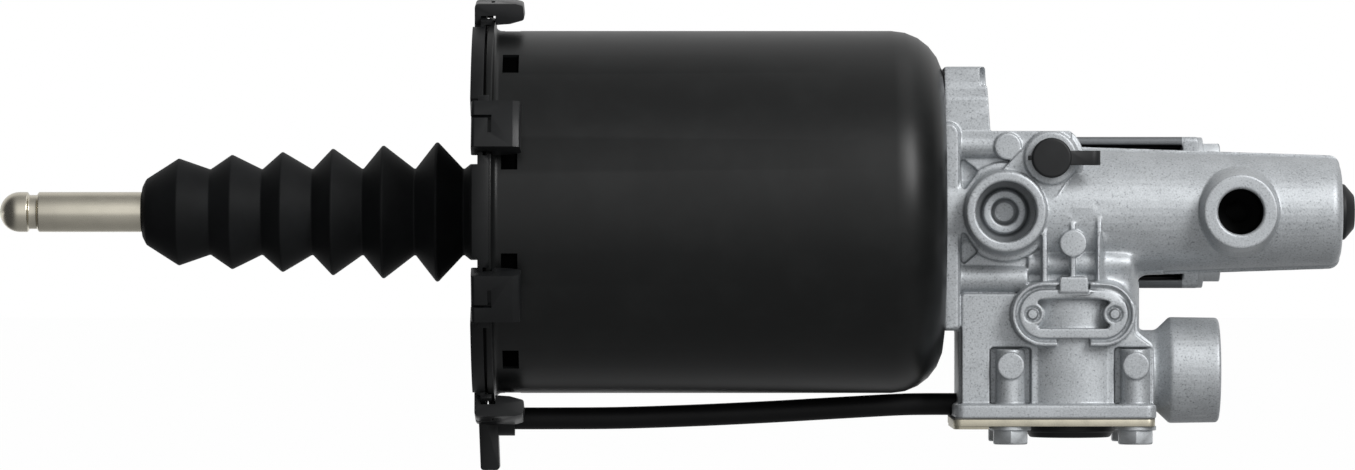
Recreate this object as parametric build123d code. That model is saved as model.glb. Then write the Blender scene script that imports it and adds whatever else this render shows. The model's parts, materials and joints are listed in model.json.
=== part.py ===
from build123d import *
import os
from math import cos, radians, tan

# Air-assisted clutch servo of a truck, in millimetres.
# X runs along the push rod, from the ball tip to the barrel. Z is up and Y points away from
# the viewer. Pieces are drawn about the push-rod axis, with x = 0 where the can seats on the
# casting, and are then moved so that the origin is midway between the two mounting bolts.

# Travel
stroke = 60.0
relay_travel = 1.1
inlet_travel = 1.5

# Fits
running_gap = 0.05
seat_gap = 0.3
contact_gap = 0.1

# Push rod
rod_tip_length = 42.9
rod_radius = 6.0
rod_head_length = 8.4
rod_groove_length = 3.3
rod_groove_radius = 5.1
bellows_groove_length = 4.6
rod_spigot_radius = 5.0
rod_spigot_length = 36.0

# Can
can_outer_radius = 54.3
can_wall = 2.5
can_open_x = -136.1
can_corner_radius = 15.6
can_inner_radius = can_outer_radius - can_wall
can_flange_radius = can_outer_radius + 3.9
can_flange_thickness = 2.0
can_flare_radius = 3.0
slot_count = 10
slot_width = 9.3
slot_length = 4.8
slot_start = 4.7
can_hole_radius = 17.2

# End cover
cover_outer_radius = can_flange_radius - seat_gap
cover_band_radius = can_flange_radius + 1.4
cover_ring_radius = can_inner_radius - 2.8
cover_face_x = can_open_x - 4.5
cover_middle_x = can_open_x - 3.7
cover_low_x = can_open_x - 2.1
cover_skirt_x = can_open_x + 1.2
cover_gap_x = can_open_x - 0.6
cover_spigot_length = 9.0
cover_web_thickness = 3.2
cover_hub_radius = 17.0
cover_hub_x = can_open_x - 5.9
cover_rib_inner = cover_hub_radius - 0.5
cover_rib_outer = can_inner_radius - 1.3

# Clips
clip_angles = (24.0, 83.0, 150.0, 210.0, 281.0, 336.0)
clip_width = 14.8
clip_outer_radius = can_flange_radius + 5.1
clip_thickness = 1.9
clip_leg_radius = can_flange_radius - 1.2
clip_end_x = can_open_x + 8.8
clip_slot = 1.0
clip_half_angle = 8.0
clip_zone_half_angle = 11.0

# Bellows
bellows_peaks = (
    (cover_hub_x - 87.2, 16.1),
    (cover_hub_x - 71.2, 17.25),
    (cover_hub_x - 56.1, 18.15),
    (cover_hub_x - 41.0, 19.2),
    (cover_hub_x - 25.9, 20.2),
    (cover_hub_x - 9.7, 21.3),
)
bellows_valley_radius = 12.8
bellows_wall = 1.5
bellows_tip_x = cover_hub_x - 98.0
bellows_end_radius = 9.9
bellows_collar_length = 6.0

# Piston
piston_radius = can_inner_radius - seat_gap
piston_length = 20.0
piston_web = 5.0
piston_hub_radius = 17.0
piston_hub_length = 24.0
piston_rim_wall = 7.0
lip_seal_length = 6.0
guide_ring_length = 6.0
ring_depth = 3.6

# Return spring
spring_radius = 33.5
spring_wire_radius = 1.9
spring_turns = 7.0

# Hydraulic plunger and its gland
plunger_radius = 8.0
bore_radius = 9.5
bore_end_x = 110.0
bore_dead_length = 28.0
plunger_end_x = bore_end_x - stroke - bore_dead_length
gland_radius = 13.0
gland_wall = 2.2
gland_depth = 14.0
cup_length = 5.0
guide_length = 7.6
circlip_thickness = 1.2
spigot_radius = 17.0
spigot_length = 6.0
can_screw_y = 13.0
can_screw_z = 19.9
can_screw_thread_radius = 3.0
can_screw_head_radius = 5.0
can_screw_boss_radius = 4.3

# Casting: can side
flange_thickness = 4.5
flange_front_y = -18.6
flange_bottom_z = -35.4
flange_top_z = 26.7
lug_thickness = 13.6
lug_top_z = 43.4
lug_front_y = -16.8
block_end_x = 37.6
block_low_end_x = 24.8
block_top_z = 24.1
block_front_y = -14.5
brow_bottom_z = 19.9
body_rear_y = 30.0

# Casting: barrel
barrel_end_x = 119.0
barrel_end_radius = 16.95
barrel_root_radius = 20.9
parting_ledge = 1.0
barrel_corner_radius = 3.4
hydraulic_port_x = 87.6
hydraulic_port_radius = 6.75
hydraulic_boss_radius = 11.0
hydraulic_root_radius = 12.9
hydraulic_face_y = -24.5
hydraulic_thread_depth = 12.0

# Casting: stepped port and bleeder
stepped_port_x = 17.9
stepped_boss_radius = 11.95
stepped_root_y = -16.6
stepped_face_y = -26.0
stepped_bore_radius = 9.05
stepped_thread_depth = 12.0
stepped_seat_radius = 6.5
stepped_hole_radius = 4.0
bleed_x = 31.4
bleed_z = 16.0
bleed_boss_radius = 8.4
bleed_face_y = -19.5
bleed_cap_radius = 6.0
bleed_cap_face_y = -25.5

# Casting: valve block
valve_x = 38.0
valve_housing_radius = 20.8
valve_left_x = 4.2
valve_right_x = 57.1
valve_low_right_x = 62.4
valve_shoulder_z = -35.6
valve_panel_top_z = -24.4
valve_ridge_z = -15.4
valve_ridge_y = -12.6
valve_ridge_radius = 3.5
valve_front_y = -18.0
valve_rear_y = 24.0
valve_bottom_z = -57.6
valve_flange_thickness = 3.6
valve_flange_half_depth = 25.0
valve_flange_left_x = 2.7
valve_flange_right_x = 62.6
bolt_half_x = 18.6
bolt_half_y = 18.0
bolt_radius = 3.0
bolt_head_flats = 10.0
bolt_head_height = 4.2
bolt_washer_radius = 6.2
bolt_washer_thickness = 1.3
gasket_thickness = 0.5
plate_thickness = 2.0
dome_radius = 13.75
dome_height = 3.8
column_radius = 4.4
column_bolt_depth = 13.0
pad_radius = 4.0
pocket_top_z = -40.4
pocket_floor_y = -13.8

# Casting: stadium pad on the valve housing
stadium_z = -30.4
stadium_length = 36.8
stadium_width = 19.0
stadium_face_y = -24.4
stadium_rim = 1.1
stadium_groove = 1.2
stadium_groove_depth = 2.0
stadium_plate_step = 0.5
stadium_break = 9.8
stadium_plate_top_z = -23.7
stadium_plate_bottom_z = -37.5
stadium_pin_span = 12.2

# Casting: air supply port
supply_z = -47.4
supply_radius = 15.9
supply_neck_radius = 12.0
supply_face_x = 82.5
supply_neck_x = 63.6
supply_thread_radius = 10.3
supply_thread_depth = 15.0

# Casting: mounting arm behind the barrel
arm_half_height = 23.2
arm_front_y = 50.0
arm_rear_y = 75.0
arm_wall = 2.6
arm_end_wall = 4.9
arm_end_x = 80.0
mount_y = 63.0
mount_z = 14.7
mount_radius = 4.0
mount_shank_radius = 3.6
mount_hole_radius = 4.5
mount_sleeve_radius = 7.5
mount_bolt_reach = 16.0
mount_head_flats = 13.0
mount_head_height = 5.3
mount_washer_radius = 8.5
mount_washer_thickness = 2.0

# Breather hose
hose_radius = 3.3
hose_bore = 2.0
hose_start_x = can_open_x + 7.6
hose_y = 4.0
hose_z = -can_flange_radius - 3.8
hose_end_z = -57.7
duct_half_width = 7.2
duct_wall = 1.8
socket_radius = 5.2

# Relay valve inside the valve block
relay_radius = 13.0
relay_bore_top_z = -26.0
relay_top_z = relay_bore_top_z - 3.0
relay_height = 7.0
relay_stem_radius = 4.0
relay_stem_length = 4.4
inlet_radius = 8.0
inlet_collar = 3.0
inlet_tube_radius = 4.0
insert_radius = 14.3


def outline(*corners):
    """Closed face through (u, v) corners; a third value rounds that corner."""
    points = [(c[0], c[1]) for c in corners]
    radii = [c[2] if len(c) > 2 else 0 for c in corners]
    return make_face(FilletPolyline(*points, radius=radii, close=True))


def prism(face, rear_y, front_y, taper=0):
    """Block with an outline in X and Z that reaches from rear_y forward to front_y."""
    return extrude(Plane.XZ.offset(-rear_y) * face, amount=rear_y - front_y, taper=taper)


def slab(face, start_x, end_x):
    """Block with an outline in Y and Z that reaches from start_x to end_x."""
    return extrude(Plane.YZ.offset(start_x) * face, amount=end_x - start_x)


def plate(face, bottom_z, top_z, taper=0):
    """Block with an outline in X and Y that reaches from bottom_z up to top_z."""
    return extrude(Plane.XY.offset(bottom_z) * face, amount=top_z - bottom_z, taper=taper)


def turned_x(*corners, y=0, z=0):
    """Solid of revolution about a line along X; corners are (x, radius, rounding)."""
    plane = Plane(origin=(0, y, z), x_dir=(1, 0, 0), z_dir=(0, -1, 0))
    return revolve(plane * outline(*corners), axis=Axis((0, y, z), (1, 0, 0)))


def turned_y(*corners, x=0, z=0):
    """Solid of revolution about a line along Y; corners are (y, radius, rounding)."""
    plane = Plane(origin=(x, 0, z), x_dir=(0, 1, 0), z_dir=(0, 0, 1))
    return revolve(plane * outline(*corners), axis=Axis((x, 0, z), (0, 1, 0)))


def turned_z(*corners, x=0, y=0):
    """Solid of revolution about a line along Z; corners are (z, radius, rounding)."""
    plane = Plane(origin=(x, y, 0), x_dir=(0, 0, 1), z_dir=(0, 1, 0))
    return revolve(plane * outline(*corners), axis=Axis((x, y, 0), (0, 0, 1)))


def rod_x(start_x, end_x, radius, y=0, z=0):
    return turned_x((start_x, 0), (start_x, radius), (end_x, radius), (end_x, 0), y=y, z=z)


def rod_y(start_y, end_y, radius, x=0, z=0):
    return turned_y((start_y, 0), (start_y, radius), (end_y, radius), (end_y, 0), x=x, z=z)


def rod_z(start_z, end_z, radius, x=0, y=0):
    return turned_z((start_z, 0), (start_z, radius), (end_z, radius), (end_z, 0), x=x, y=y)


def ring_x(start_x, end_x, inner, outer, y=0, z=0):
    return turned_x((start_x, inner), (start_x, outer), (end_x, outer), (end_x, inner), y=y, z=z)


def ring_z(start_z, end_z, inner, outer, x=0, y=0):
    return turned_z((start_z, inner), (start_z, outer), (end_z, outer), (end_z, inner), x=x, y=y)


def around(solid, angle):
    """Turn a solid that faces the viewer by an angle about the push-rod axis."""
    return Rot(-angle, 0, 0) * solid


# Sizes that follow from the driving dimensions
piston_left_x = can_open_x + cover_spigot_length + 1.0
piston_hub_end_x = piston_left_x + piston_hub_length
piston_web_x = piston_left_x + 4.0
valve_flange_bottom_z = valve_bottom_z - valve_flange_thickness
plate_top_z = valve_flange_bottom_z - gasket_thickness
plate_bottom_z = plate_top_z - plate_thickness
bolt_places = [(valve_x + sx * bolt_half_x, sy * bolt_half_y) for sx in (-1, 1) for sy in (-1, 1)]
mount_places = [(mount_y, side * mount_z) for side in (-1, 1)]
can_screw_places = [(sy * can_screw_y, sz * can_screw_z) for sy in (-1, 1) for sz in (-1, 1)]
hose_end_x = valve_left_x - contact_gap
rod_tip_x = bellows_tip_x - rod_tip_length
bellows_groove_x = bellows_tip_x - seat_gap
bellows_collar_radius = bellows_valley_radius - bellows_wall
valve_seat_z = relay_top_z - relay_height - relay_stem_length - relay_travel - contact_gap
circlip_x = gland_depth - cup_length - guide_length - circlip_thickness - running_gap


def push_rod():
    """Rod with a ball tip, a ring groove behind it and a thinner spigot for the piston."""
    groove_x = rod_tip_x + rod_head_length
    shoulder_x = piston_left_x
    body = turned_x(
        (rod_tip_x, 0),
        (rod_tip_x, rod_radius, rod_radius - 0.02),
        (groove_x, rod_radius, 0.5),
        (groove_x + 0.5, rod_groove_radius, 0.4),
        (groove_x + rod_groove_length - 0.5, rod_groove_radius, 0.4),
        (groove_x + rod_groove_length, rod_radius, 0.5),
        (bellows_groove_x, rod_radius, 0.3),
        (bellows_groove_x + 0.3, rod_groove_radius),
        (bellows_groove_x + bellows_groove_length, rod_groove_radius),
        (bellows_groove_x + bellows_groove_length, rod_radius),
        (shoulder_x, rod_radius),
        (shoulder_x, rod_spigot_radius),
        (shoulder_x + rod_spigot_length, rod_spigot_radius, 0.8),
        (shoulder_x + rod_spigot_length, 0),
    )
    return body


def air_piston():
    """Dished disc with a hub for the rod and a rim that carries the seal and the guide ring."""
    left = piston_left_x
    right = left + piston_length
    inner_rim = piston_radius - piston_rim_wall
    profile = (
        (left, rod_spigot_radius),
        (left, piston_hub_radius, 1.5),
        (piston_web_x, piston_hub_radius + 3, 2),
        (piston_web_x, inner_rim - 2, 2),
        (left, inner_rim, 1.5),
        (left, piston_radius, 0.8),
        (right, piston_radius, 0.8),
        (right, inner_rim, 1.5),
        (piston_web_x + piston_web, inner_rim - 2, 2),
        (piston_web_x + piston_web, piston_hub_radius + 3, 2),
        (piston_hub_end_x, piston_hub_radius, 1.5),
        (piston_hub_end_x, rod_spigot_radius),
    )
    body = turned_x(*profile)
    for start, length in piston_grooves():
        body -= ring_x(start, start + length, piston_radius - ring_depth, piston_radius + 1)
    return body


def piston_grooves():
    """Start and length of the guide-ring groove and of the lip-seal groove."""
    land = 2.2
    first = piston_left_x + land
    second = first + guide_ring_length + land
    return (first, guide_ring_length), (second, lip_seal_length)


def piston_guide_ring():
    start, length = piston_grooves()[0]
    return ring_x(start, start + length, piston_radius - ring_depth, can_inner_radius - running_gap)


def piston_lip_seal():
    """Ring with a V-shaped mouth that opens towards the pressure side."""
    start, length = piston_grooves()[1]
    inner = piston_radius - ring_depth
    outer = can_inner_radius - running_gap
    middle = (inner + outer) / 2
    return turned_x(
        (start, inner),
        (start, outer - 0.5, 0.4),
        (start + length, outer),
        (start + length, outer - 0.8),
        (start + length * 0.5, middle, 0.4),
        (start + length, inner + 0.8),
        (start + length, inner),
    )


def hydraulic_plunger():
    """Ground plunger that screws on the end of the push rod and clamps the piston's hub."""
    body = turned_x(
        (piston_hub_end_x, rod_spigot_radius),
        (piston_hub_end_x, plunger_radius + 1.5, 0.8),
        (piston_hub_end_x + 6, plunger_radius + 1.5, 0.8),
        (piston_hub_end_x + 6, plunger_radius),
        (plunger_end_x, plunger_radius, 1.2),
        (plunger_end_x, 0),
        (piston_left_x + rod_spigot_length, 0),
        (piston_left_x + rod_spigot_length, rod_spigot_radius),
    )
    return body


def return_spring():
    """Open-coil spring between the piston's web and the bottom of the can."""
    start_x = piston_web_x + piston_web + spring_wire_radius + seat_gap
    end_x = -can_wall - spring_wire_radius - seat_gap
    length = end_x - start_x
    helix = Helix(pitch=length / spring_turns, height=length, radius=spring_radius)
    path = Plane(origin=(start_x, 0, 0), x_dir=(0, 0, 1), z_dir=(1, 0, 0)) * helix
    section = Plane(origin=path @ 0, z_dir=path % 0) * RegularPolygon(spring_wire_radius, 8)
    return sweep(section, path=path, is_frenet=True)


def bellows_line(offset):
    """Crests and valleys of the bellows as (x, radius), moved by an offset across the wall."""
    line = []
    for number, (peak_x, peak_radius) in enumerate(bellows_peaks):
        line.append((peak_x, peak_radius + offset, 0.9))
        if number + 1 < len(bellows_peaks):
            valley_x = (peak_x + bellows_peaks[number + 1][0]) / 2 + 1.5
            line.append((valley_x, bellows_valley_radius + offset, 0.5))
    return line


def bellows():
    """Rubber bellows with a thick nose on the rod and a collar on the cover's hub."""
    tip = bellows_tip_x
    collar_x = cover_hub_x + seat_gap
    outer = [
        (tip, rod_groove_radius + running_gap),
        (tip - 0.1, 7.5, 1.2),
        (tip + 1.1, bellows_end_radius, 1.6),
    ]
    outer += bellows_line(0)
    last_valley_x = collar_x - 2.0
    outer += [(last_valley_x, bellows_valley_radius, 0.6), (collar_x, bellows_valley_radius + 1.6, 0.5)]
    collar_end_x = cover_hub_x + bellows_collar_length - 0.1
    outer += [(collar_end_x, bellows_valley_radius + 1.6, 0.6)]
    inner = [(collar_end_x, bellows_collar_radius), (last_valley_x + 0.4, bellows_collar_radius, 0.4)]
    inner += [(x, radius, 0.4) for x, radius, _ in reversed(bellows_line(-bellows_wall * 1.35))]
    nose_end = tip + bellows_groove_length - 2 * seat_gap
    inner += [
        (nose_end + 1.0, bellows_end_radius - bellows_wall, 0.5),
        (nose_end, rod_groove_radius + running_gap),
    ]
    return turned_x(*outer, *inner)


def cylinder_can():
    """Deep-drawn can with a round shoulder, an out-turned flange and a ring of slots."""
    flange_end = can_open_x + can_flange_thickness
    flare = can_flare_radius
    face = outline(
        (can_open_x, can_inner_radius, can_wall),
        (can_open_x, can_flange_radius, 0.4),
        (flange_end, can_flange_radius, 0.4),
        (flange_end, can_outer_radius, flare),
        (0, can_outer_radius, can_corner_radius),
        (0, can_hole_radius),
        (-can_wall, can_hole_radius),
        (-can_wall, can_inner_radius, can_corner_radius - can_wall),
    )
    can = revolve(Plane.XZ * face, axis=Axis.X)
    slot_x = can_open_x + slot_start
    slot = Pos(slot_x + slot_length / 2, -can_outer_radius, 0) * Box(slot_length, 4 * can_wall, slot_width)
    for number in range(slot_count):
        can -= around(slot, (number + 0.5) * 360 / slot_count)
    for y, z in can_screw_places:
        can -= rod_x(-2 * can_wall, can_wall, can_screw_thread_radius + seat_gap, y=y, z=z)
    return can


def rim_sector(start_x, end_x, inner, outer, start_angle, end_angle):
    """Piece of a ring about the rod axis between two angles seen from the viewer."""
    sector = revolve(
        Plane.XY * outline((start_x, -outer), (end_x, -outer), (end_x, -inner), (start_x, -inner)),
        axis=Axis.X,
        revolution_arc=end_angle - start_angle,
    )
    return Rot(-end_angle, 0, 0) * sector


def end_cover():
    """Moulded cover: stepped rim, web with ribs, hub for the bellows and snap lugs in the slots."""
    inside = can_inner_radius - seat_gap
    seal_x = can_open_x - 0.1
    web_x = cover_low_x + cover_web_thickness
    body = turned_x(
        (cover_low_x, cover_hub_radius),
        (cover_low_x, cover_outer_radius, 0.6),
        (cover_gap_x, cover_outer_radius, 0.3),
        (cover_gap_x, can_flange_radius - 3.2),
        (seal_x, can_flange_radius - 3.2),
        (seal_x, inside),
        (can_open_x + cover_spigot_length, inside),
        (can_open_x + cover_spigot_length, inside - 3),
        (web_x, inside - 4, 1.5),
        (web_x, cover_hub_radius),
    )
    hub = turned_x(
        (cover_hub_x, rod_radius + 2.5),
        (cover_hub_x, bellows_collar_radius - contact_gap),
        (cover_hub_x + bellows_collar_length, bellows_collar_radius - contact_gap),
        (cover_hub_x + bellows_collar_length, cover_hub_radius + 1),
        (web_x + 1, cover_hub_radius + 1, 1),
        (piston_left_x - 0.5, cover_hub_radius - 2, 0.5),
        (piston_left_x - 0.5, rod_radius + 2.5),
    )
    body += hub
    for number in range(slot_count):
        middle = Pos((web_x + can_open_x + 7) / 2, 0, (cover_rib_inner + cover_rib_outer) / 2)
        rib = middle * Box(can_open_x + 7 - web_x, 2, cover_rib_outer - cover_rib_inner)
        body += Rot(360 / slot_count * number, 0, 0) * rib
    skirt = can_flange_radius + 0.2
    zone = clip_zone_half_angle
    following_angles = (*clip_angles[1:], clip_angles[0] + 360)
    for angle, following in zip(clip_angles, following_angles):
        start, end = angle + zone, following - zone
        ring, band = cover_ring_radius, cover_band_radius
        if angle == clip_angles[-1]:
            body += rim_sector(cover_middle_x, cover_skirt_x, skirt, band, start, end)
            body += rim_sector(cover_middle_x, cover_low_x + 1, ring, band, start, end)
        else:
            body += rim_sector(cover_face_x, cover_low_x + 1, ring, cover_outer_radius, start, end)
        for low, high in ((-zone, -clip_half_angle), (clip_half_angle, zone)):
            body += rim_sector(cover_low_x, cover_skirt_x, skirt, band, angle + low, angle + high)
        body += rim_sector(cover_low_x, cover_gap_x, skirt - 2.4, band, angle - zone, angle + zone)
    lug = Pos(can_open_x + slot_start + slot_length / 2, 1 - (inside + can_outer_radius) / 2, 0) * Box(
        slot_length - 0.4, can_outer_radius - inside, slot_width - 0.4
    )
    for number in range(slot_count):
        body += around(lug, (number + 0.5) * 360 / slot_count)
    return body + air_duct()


def air_duct():
    """Hollow ear under the cover, with a short round socket for the hose."""
    low = cover_low_x
    ear_face = outline(
        (low - 1.0, hose_z + 12),
        (low - 1.0, hose_z),
        (low - 0.4, hose_z - 15.4, 1),
        (low + 5.2, hose_z - 15.4, 1),
        (low + 4.6, hose_z),
        (low + 3.4, hose_z + 2.2),
        (low + 0.2, hose_z + 2.2),
        (low + 0.2, hose_z + 12),
    )
    hollow_face = outline(
        (low + 0.8, hose_z + 1.8),
        (low + 0.8, hose_z - 13.5),
        (low + 3.5, hose_z - 13.5),
        (low + 3.2, hose_z + 1.8),
    )
    hollow_half_width = duct_half_width - duct_wall
    ear = prism(ear_face, hose_y + duct_half_width, hose_y - duct_half_width)
    hollow = prism(hollow_face, hose_y + hollow_half_width, hose_y - hollow_half_width)
    socket = rod_x(low + 4.2, hose_start_x, socket_radius, y=hose_y, z=hose_z)
    bore = rod_x(low + 2.2, hose_start_x + 1, hose_radius + running_gap, y=hose_y, z=hose_z)
    return ear + socket - hollow - bore


def cover_clips():
    """Spring clips that hook over the cover's rim and under the can's flange."""
    left_x = cover_low_x - clip_thickness
    top = clip_outer_radius
    face = outline(
        (left_x, -clip_leg_radius, 0.6),
        (left_x, -top, 1.2),
        (clip_end_x - 0.6, -top, 0.8),
        (clip_end_x + 1.6, -top + 0.6, 0.9),
        (clip_end_x + 2.0, -top + 4.8, 0.9),
        (clip_end_x - 2.3, -top + 6.0, 0.8),
        (can_open_x + can_flange_thickness + 0.2, -top + 6.3, 0.3),
        (can_open_x + can_flange_thickness + 0.2, -cover_band_radius - contact_gap),
        (cover_low_x - 0.05, -cover_band_radius - contact_gap),
        (cover_low_x - 0.05, -clip_leg_radius),
    )
    clip = extrude(Plane.XY.offset(-clip_width / 2) * face, amount=clip_width)
    long_slot = Pos(left_x + 2.8, -top, 2.3) * Box(6.4, 3, clip_slot)
    cross_slot = Pos(left_x + 5.4, -top, 0) * Box(1.0, 3, 5.6)
    clip -= long_slot + cross_slot
    mirrored = mirror(clip, Plane.XY)
    solids = []
    for angle in clip_angles:
        piece = clip if angle < 180 else mirrored
        solids.append(around(piece, angle))
    return Compound(children=solids)


def hose_points():
    """Route of the breather hose: straight from the socket, then a gentle S up to the casting."""
    return (
        (hose_start_x - 4, hose_y, hose_z),
        (-97.0, hose_y, hose_z),
        (-52.0, hose_y, -60.0),
        (-14.0, hose_y, hose_end_z),
        (hose_end_x, hose_y, hose_end_z),
    )


def breather_hose():
    """Rubber hose, held by the duct's socket at one end and the casting's spigot at the other."""
    points = hose_points()
    radii = []
    for before, corner, after in zip(points, points[1:], points[2:]):
        first = Vector(corner) - Vector(before)
        second = Vector(after) - Vector(corner)
        turn = radians(first.get_angle(second))
        radii.append(0.45 * min(first.length, second.length) / tan(turn / 2))
    path = FilletPolyline(*points, radius=radii)
    section = Plane(origin=path @ 0, z_dir=path % 0) * (Circle(hose_radius) - Circle(hose_bore))
    return sweep(section, path=path)


def hose_spigot():
    """Barbed brass stub pressed into the valve block, over which the hose is pushed."""
    start = hose_end_x - 10
    return turned_x(
        (start, 0.9),
        (start, hose_bore - 0.4),
        (start + 2.5, hose_bore - running_gap),
        (hose_end_x + 7, hose_bore - running_gap),
        (hose_end_x + 7, 0.9),
        y=hose_y,
        z=hose_end_z,
    )


def rod_bush():
    """Plain bush in the cover's hub that guides the push rod."""
    return ring_x(cover_hub_x + 1, piston_left_x - 1.5, rod_radius + running_gap, rod_radius + 2.5)


def casting_lug():
    """Upper lug against the can, with drafted right side and a spot-faced threaded hole."""
    side = outline(
        (0, 20),
        (lug_thickness, 20),
        (lug_thickness, lug_top_z - 20),
        (lug_thickness - 1.3, lug_top_z, 1.0),
        (0, lug_top_z, 0.6),
    )
    front = lug_front_y
    shape = outline(
        (front + 5.5, lug_top_z, 2.0),
        (front + 2.6, lug_top_z - 4.8, 1.5),
        (front + 2.2, lug_top_z - 6.6, 1.5),
        (front + 0.4, lug_top_z - 9.6, 2.5),
        (front, 20),
        (24, 20),
        (24, lug_top_z - 9, 4),
        (19, lug_top_z, 3),
    )
    lug = prism(side, 30, -30) & slab(shape, -1, lug_thickness + 1)
    hole_z = lug_top_z - 4.3
    hole_y = front + 2.5 + 3.9
    lug -= rod_x(lug_thickness - 3.0, lug_thickness + 2, 4.0, y=hole_y, z=hole_z)
    lug -= rod_x(2.5, lug_thickness, 2.5, y=hole_y, z=hole_z)
    return lug


def barrel_half(shrink):
    """Drafted barrel from the can side to its rounded end, its radius reduced by shrink."""
    return turned_x(
        (0, 0),
        (0, barrel_root_radius - shrink),
        (barrel_end_x, barrel_end_radius - shrink, barrel_corner_radius),
        (barrel_end_x, 0),
    )


def barrel():
    """Barrel whose rear half stands out by the small ledge of the parting line."""
    length = barrel_end_x + 2
    reach = 2 * barrel_root_radius
    front_space = Pos(length / 2, -reach / 2, 0) * Box(length + 2, reach, 2 * reach)
    return (barrel_half(parting_ledge) & front_space) + (barrel_half(0) - front_space)


def boss_y(x, z, face_radius, face_y, root_y, root_radius, draft=0.6, edge=0.7):
    """Drafted round boss facing the viewer, with a concave flare into a round-edged step."""
    top_radius = face_radius + draft
    step_radius = top_radius + root_radius + 0.6
    return turned_y(
        (face_y, 0),
        (face_y, face_radius, edge),
        (root_y, top_radius, root_radius),
        (root_y, step_radius, 0.5),
        (root_y + 9, step_radius),
        (root_y + 9, 0),
        x=x,
        z=z,
    )


def casting_flange():
    """Flange against the can, drawn forward as a strip with a bevelled edge and a round corner."""
    bevel = 1.1
    face = outline(
        (-3, flange_bottom_z),
        (flange_thickness, flange_bottom_z, 1.5),
        (flange_thickness, flange_top_z, 3.6),
        (-3, flange_top_z),
    )
    strip = prism(face, body_rear_y, flange_front_y + bevel)
    strip += prism(face, flange_front_y + bevel, flange_front_y, taper=35)
    return strip - Pos(-5, 0, 0) * Box(10, 200, 200)


def casting_body():
    """Upper block with its brow, can-screw bosses and the web round the two upper bosses."""
    start_x = flange_thickness - 1
    block = prism(
        outline(
            (start_x, -18),
            (start_x, block_top_z),
            (block_end_x, block_top_z, 0.5),
            (block_end_x, 8),
            (block_low_end_x, -3),
            (block_low_end_x, -18),
        ),
        body_rear_y,
        block_front_y,
    )
    brow = prism(
        outline(
            (start_x, brow_bottom_z),
            (start_x, block_top_z),
            (block_end_x, block_top_z, 0.5),
            (block_end_x, brow_bottom_z),
        ),
        0,
        lug_front_y,
    )
    block += brow
    boss_radius = can_screw_boss_radius
    for side, end_x in ((-1, block_low_end_x), (1, bleed_x - 2)):
        block += turned_x(
            (1, 0),
            (1, boss_radius),
            (end_x, boss_radius - 0.3, 0.7),
            (end_x, 0),
            y=-can_screw_y,
            z=side * can_screw_z,
        )
    stepped_circle = Pos(stepped_port_x, 0) * Circle(9.5)
    bleed_circle = Pos(bleed_x, bleed_z) * Circle(bleed_boss_radius - 0.6)
    web = prism(make_hull(stepped_circle.edges() + bleed_circle.edges()), -8, bleed_face_y + 1.0)
    bleed_boss = boss_y(bleed_x, bleed_z, bleed_boss_radius - 0.5, bleed_face_y, -15.0, 1.2, draft=0.4)
    bleed_boss -= Pos(bleed_x, bleed_face_y, block_top_z + 10) * Box(30, 40, 20)
    return casting_flange() + block + web + bleed_boss


def ejector_pad(x, z, front_y):
    """Small round pad that faces the viewer."""
    return turned_y((-8, 0), (-8, pad_radius), (front_y, pad_radius, 0.2), (front_y, 0), x=x, z=z)


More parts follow.
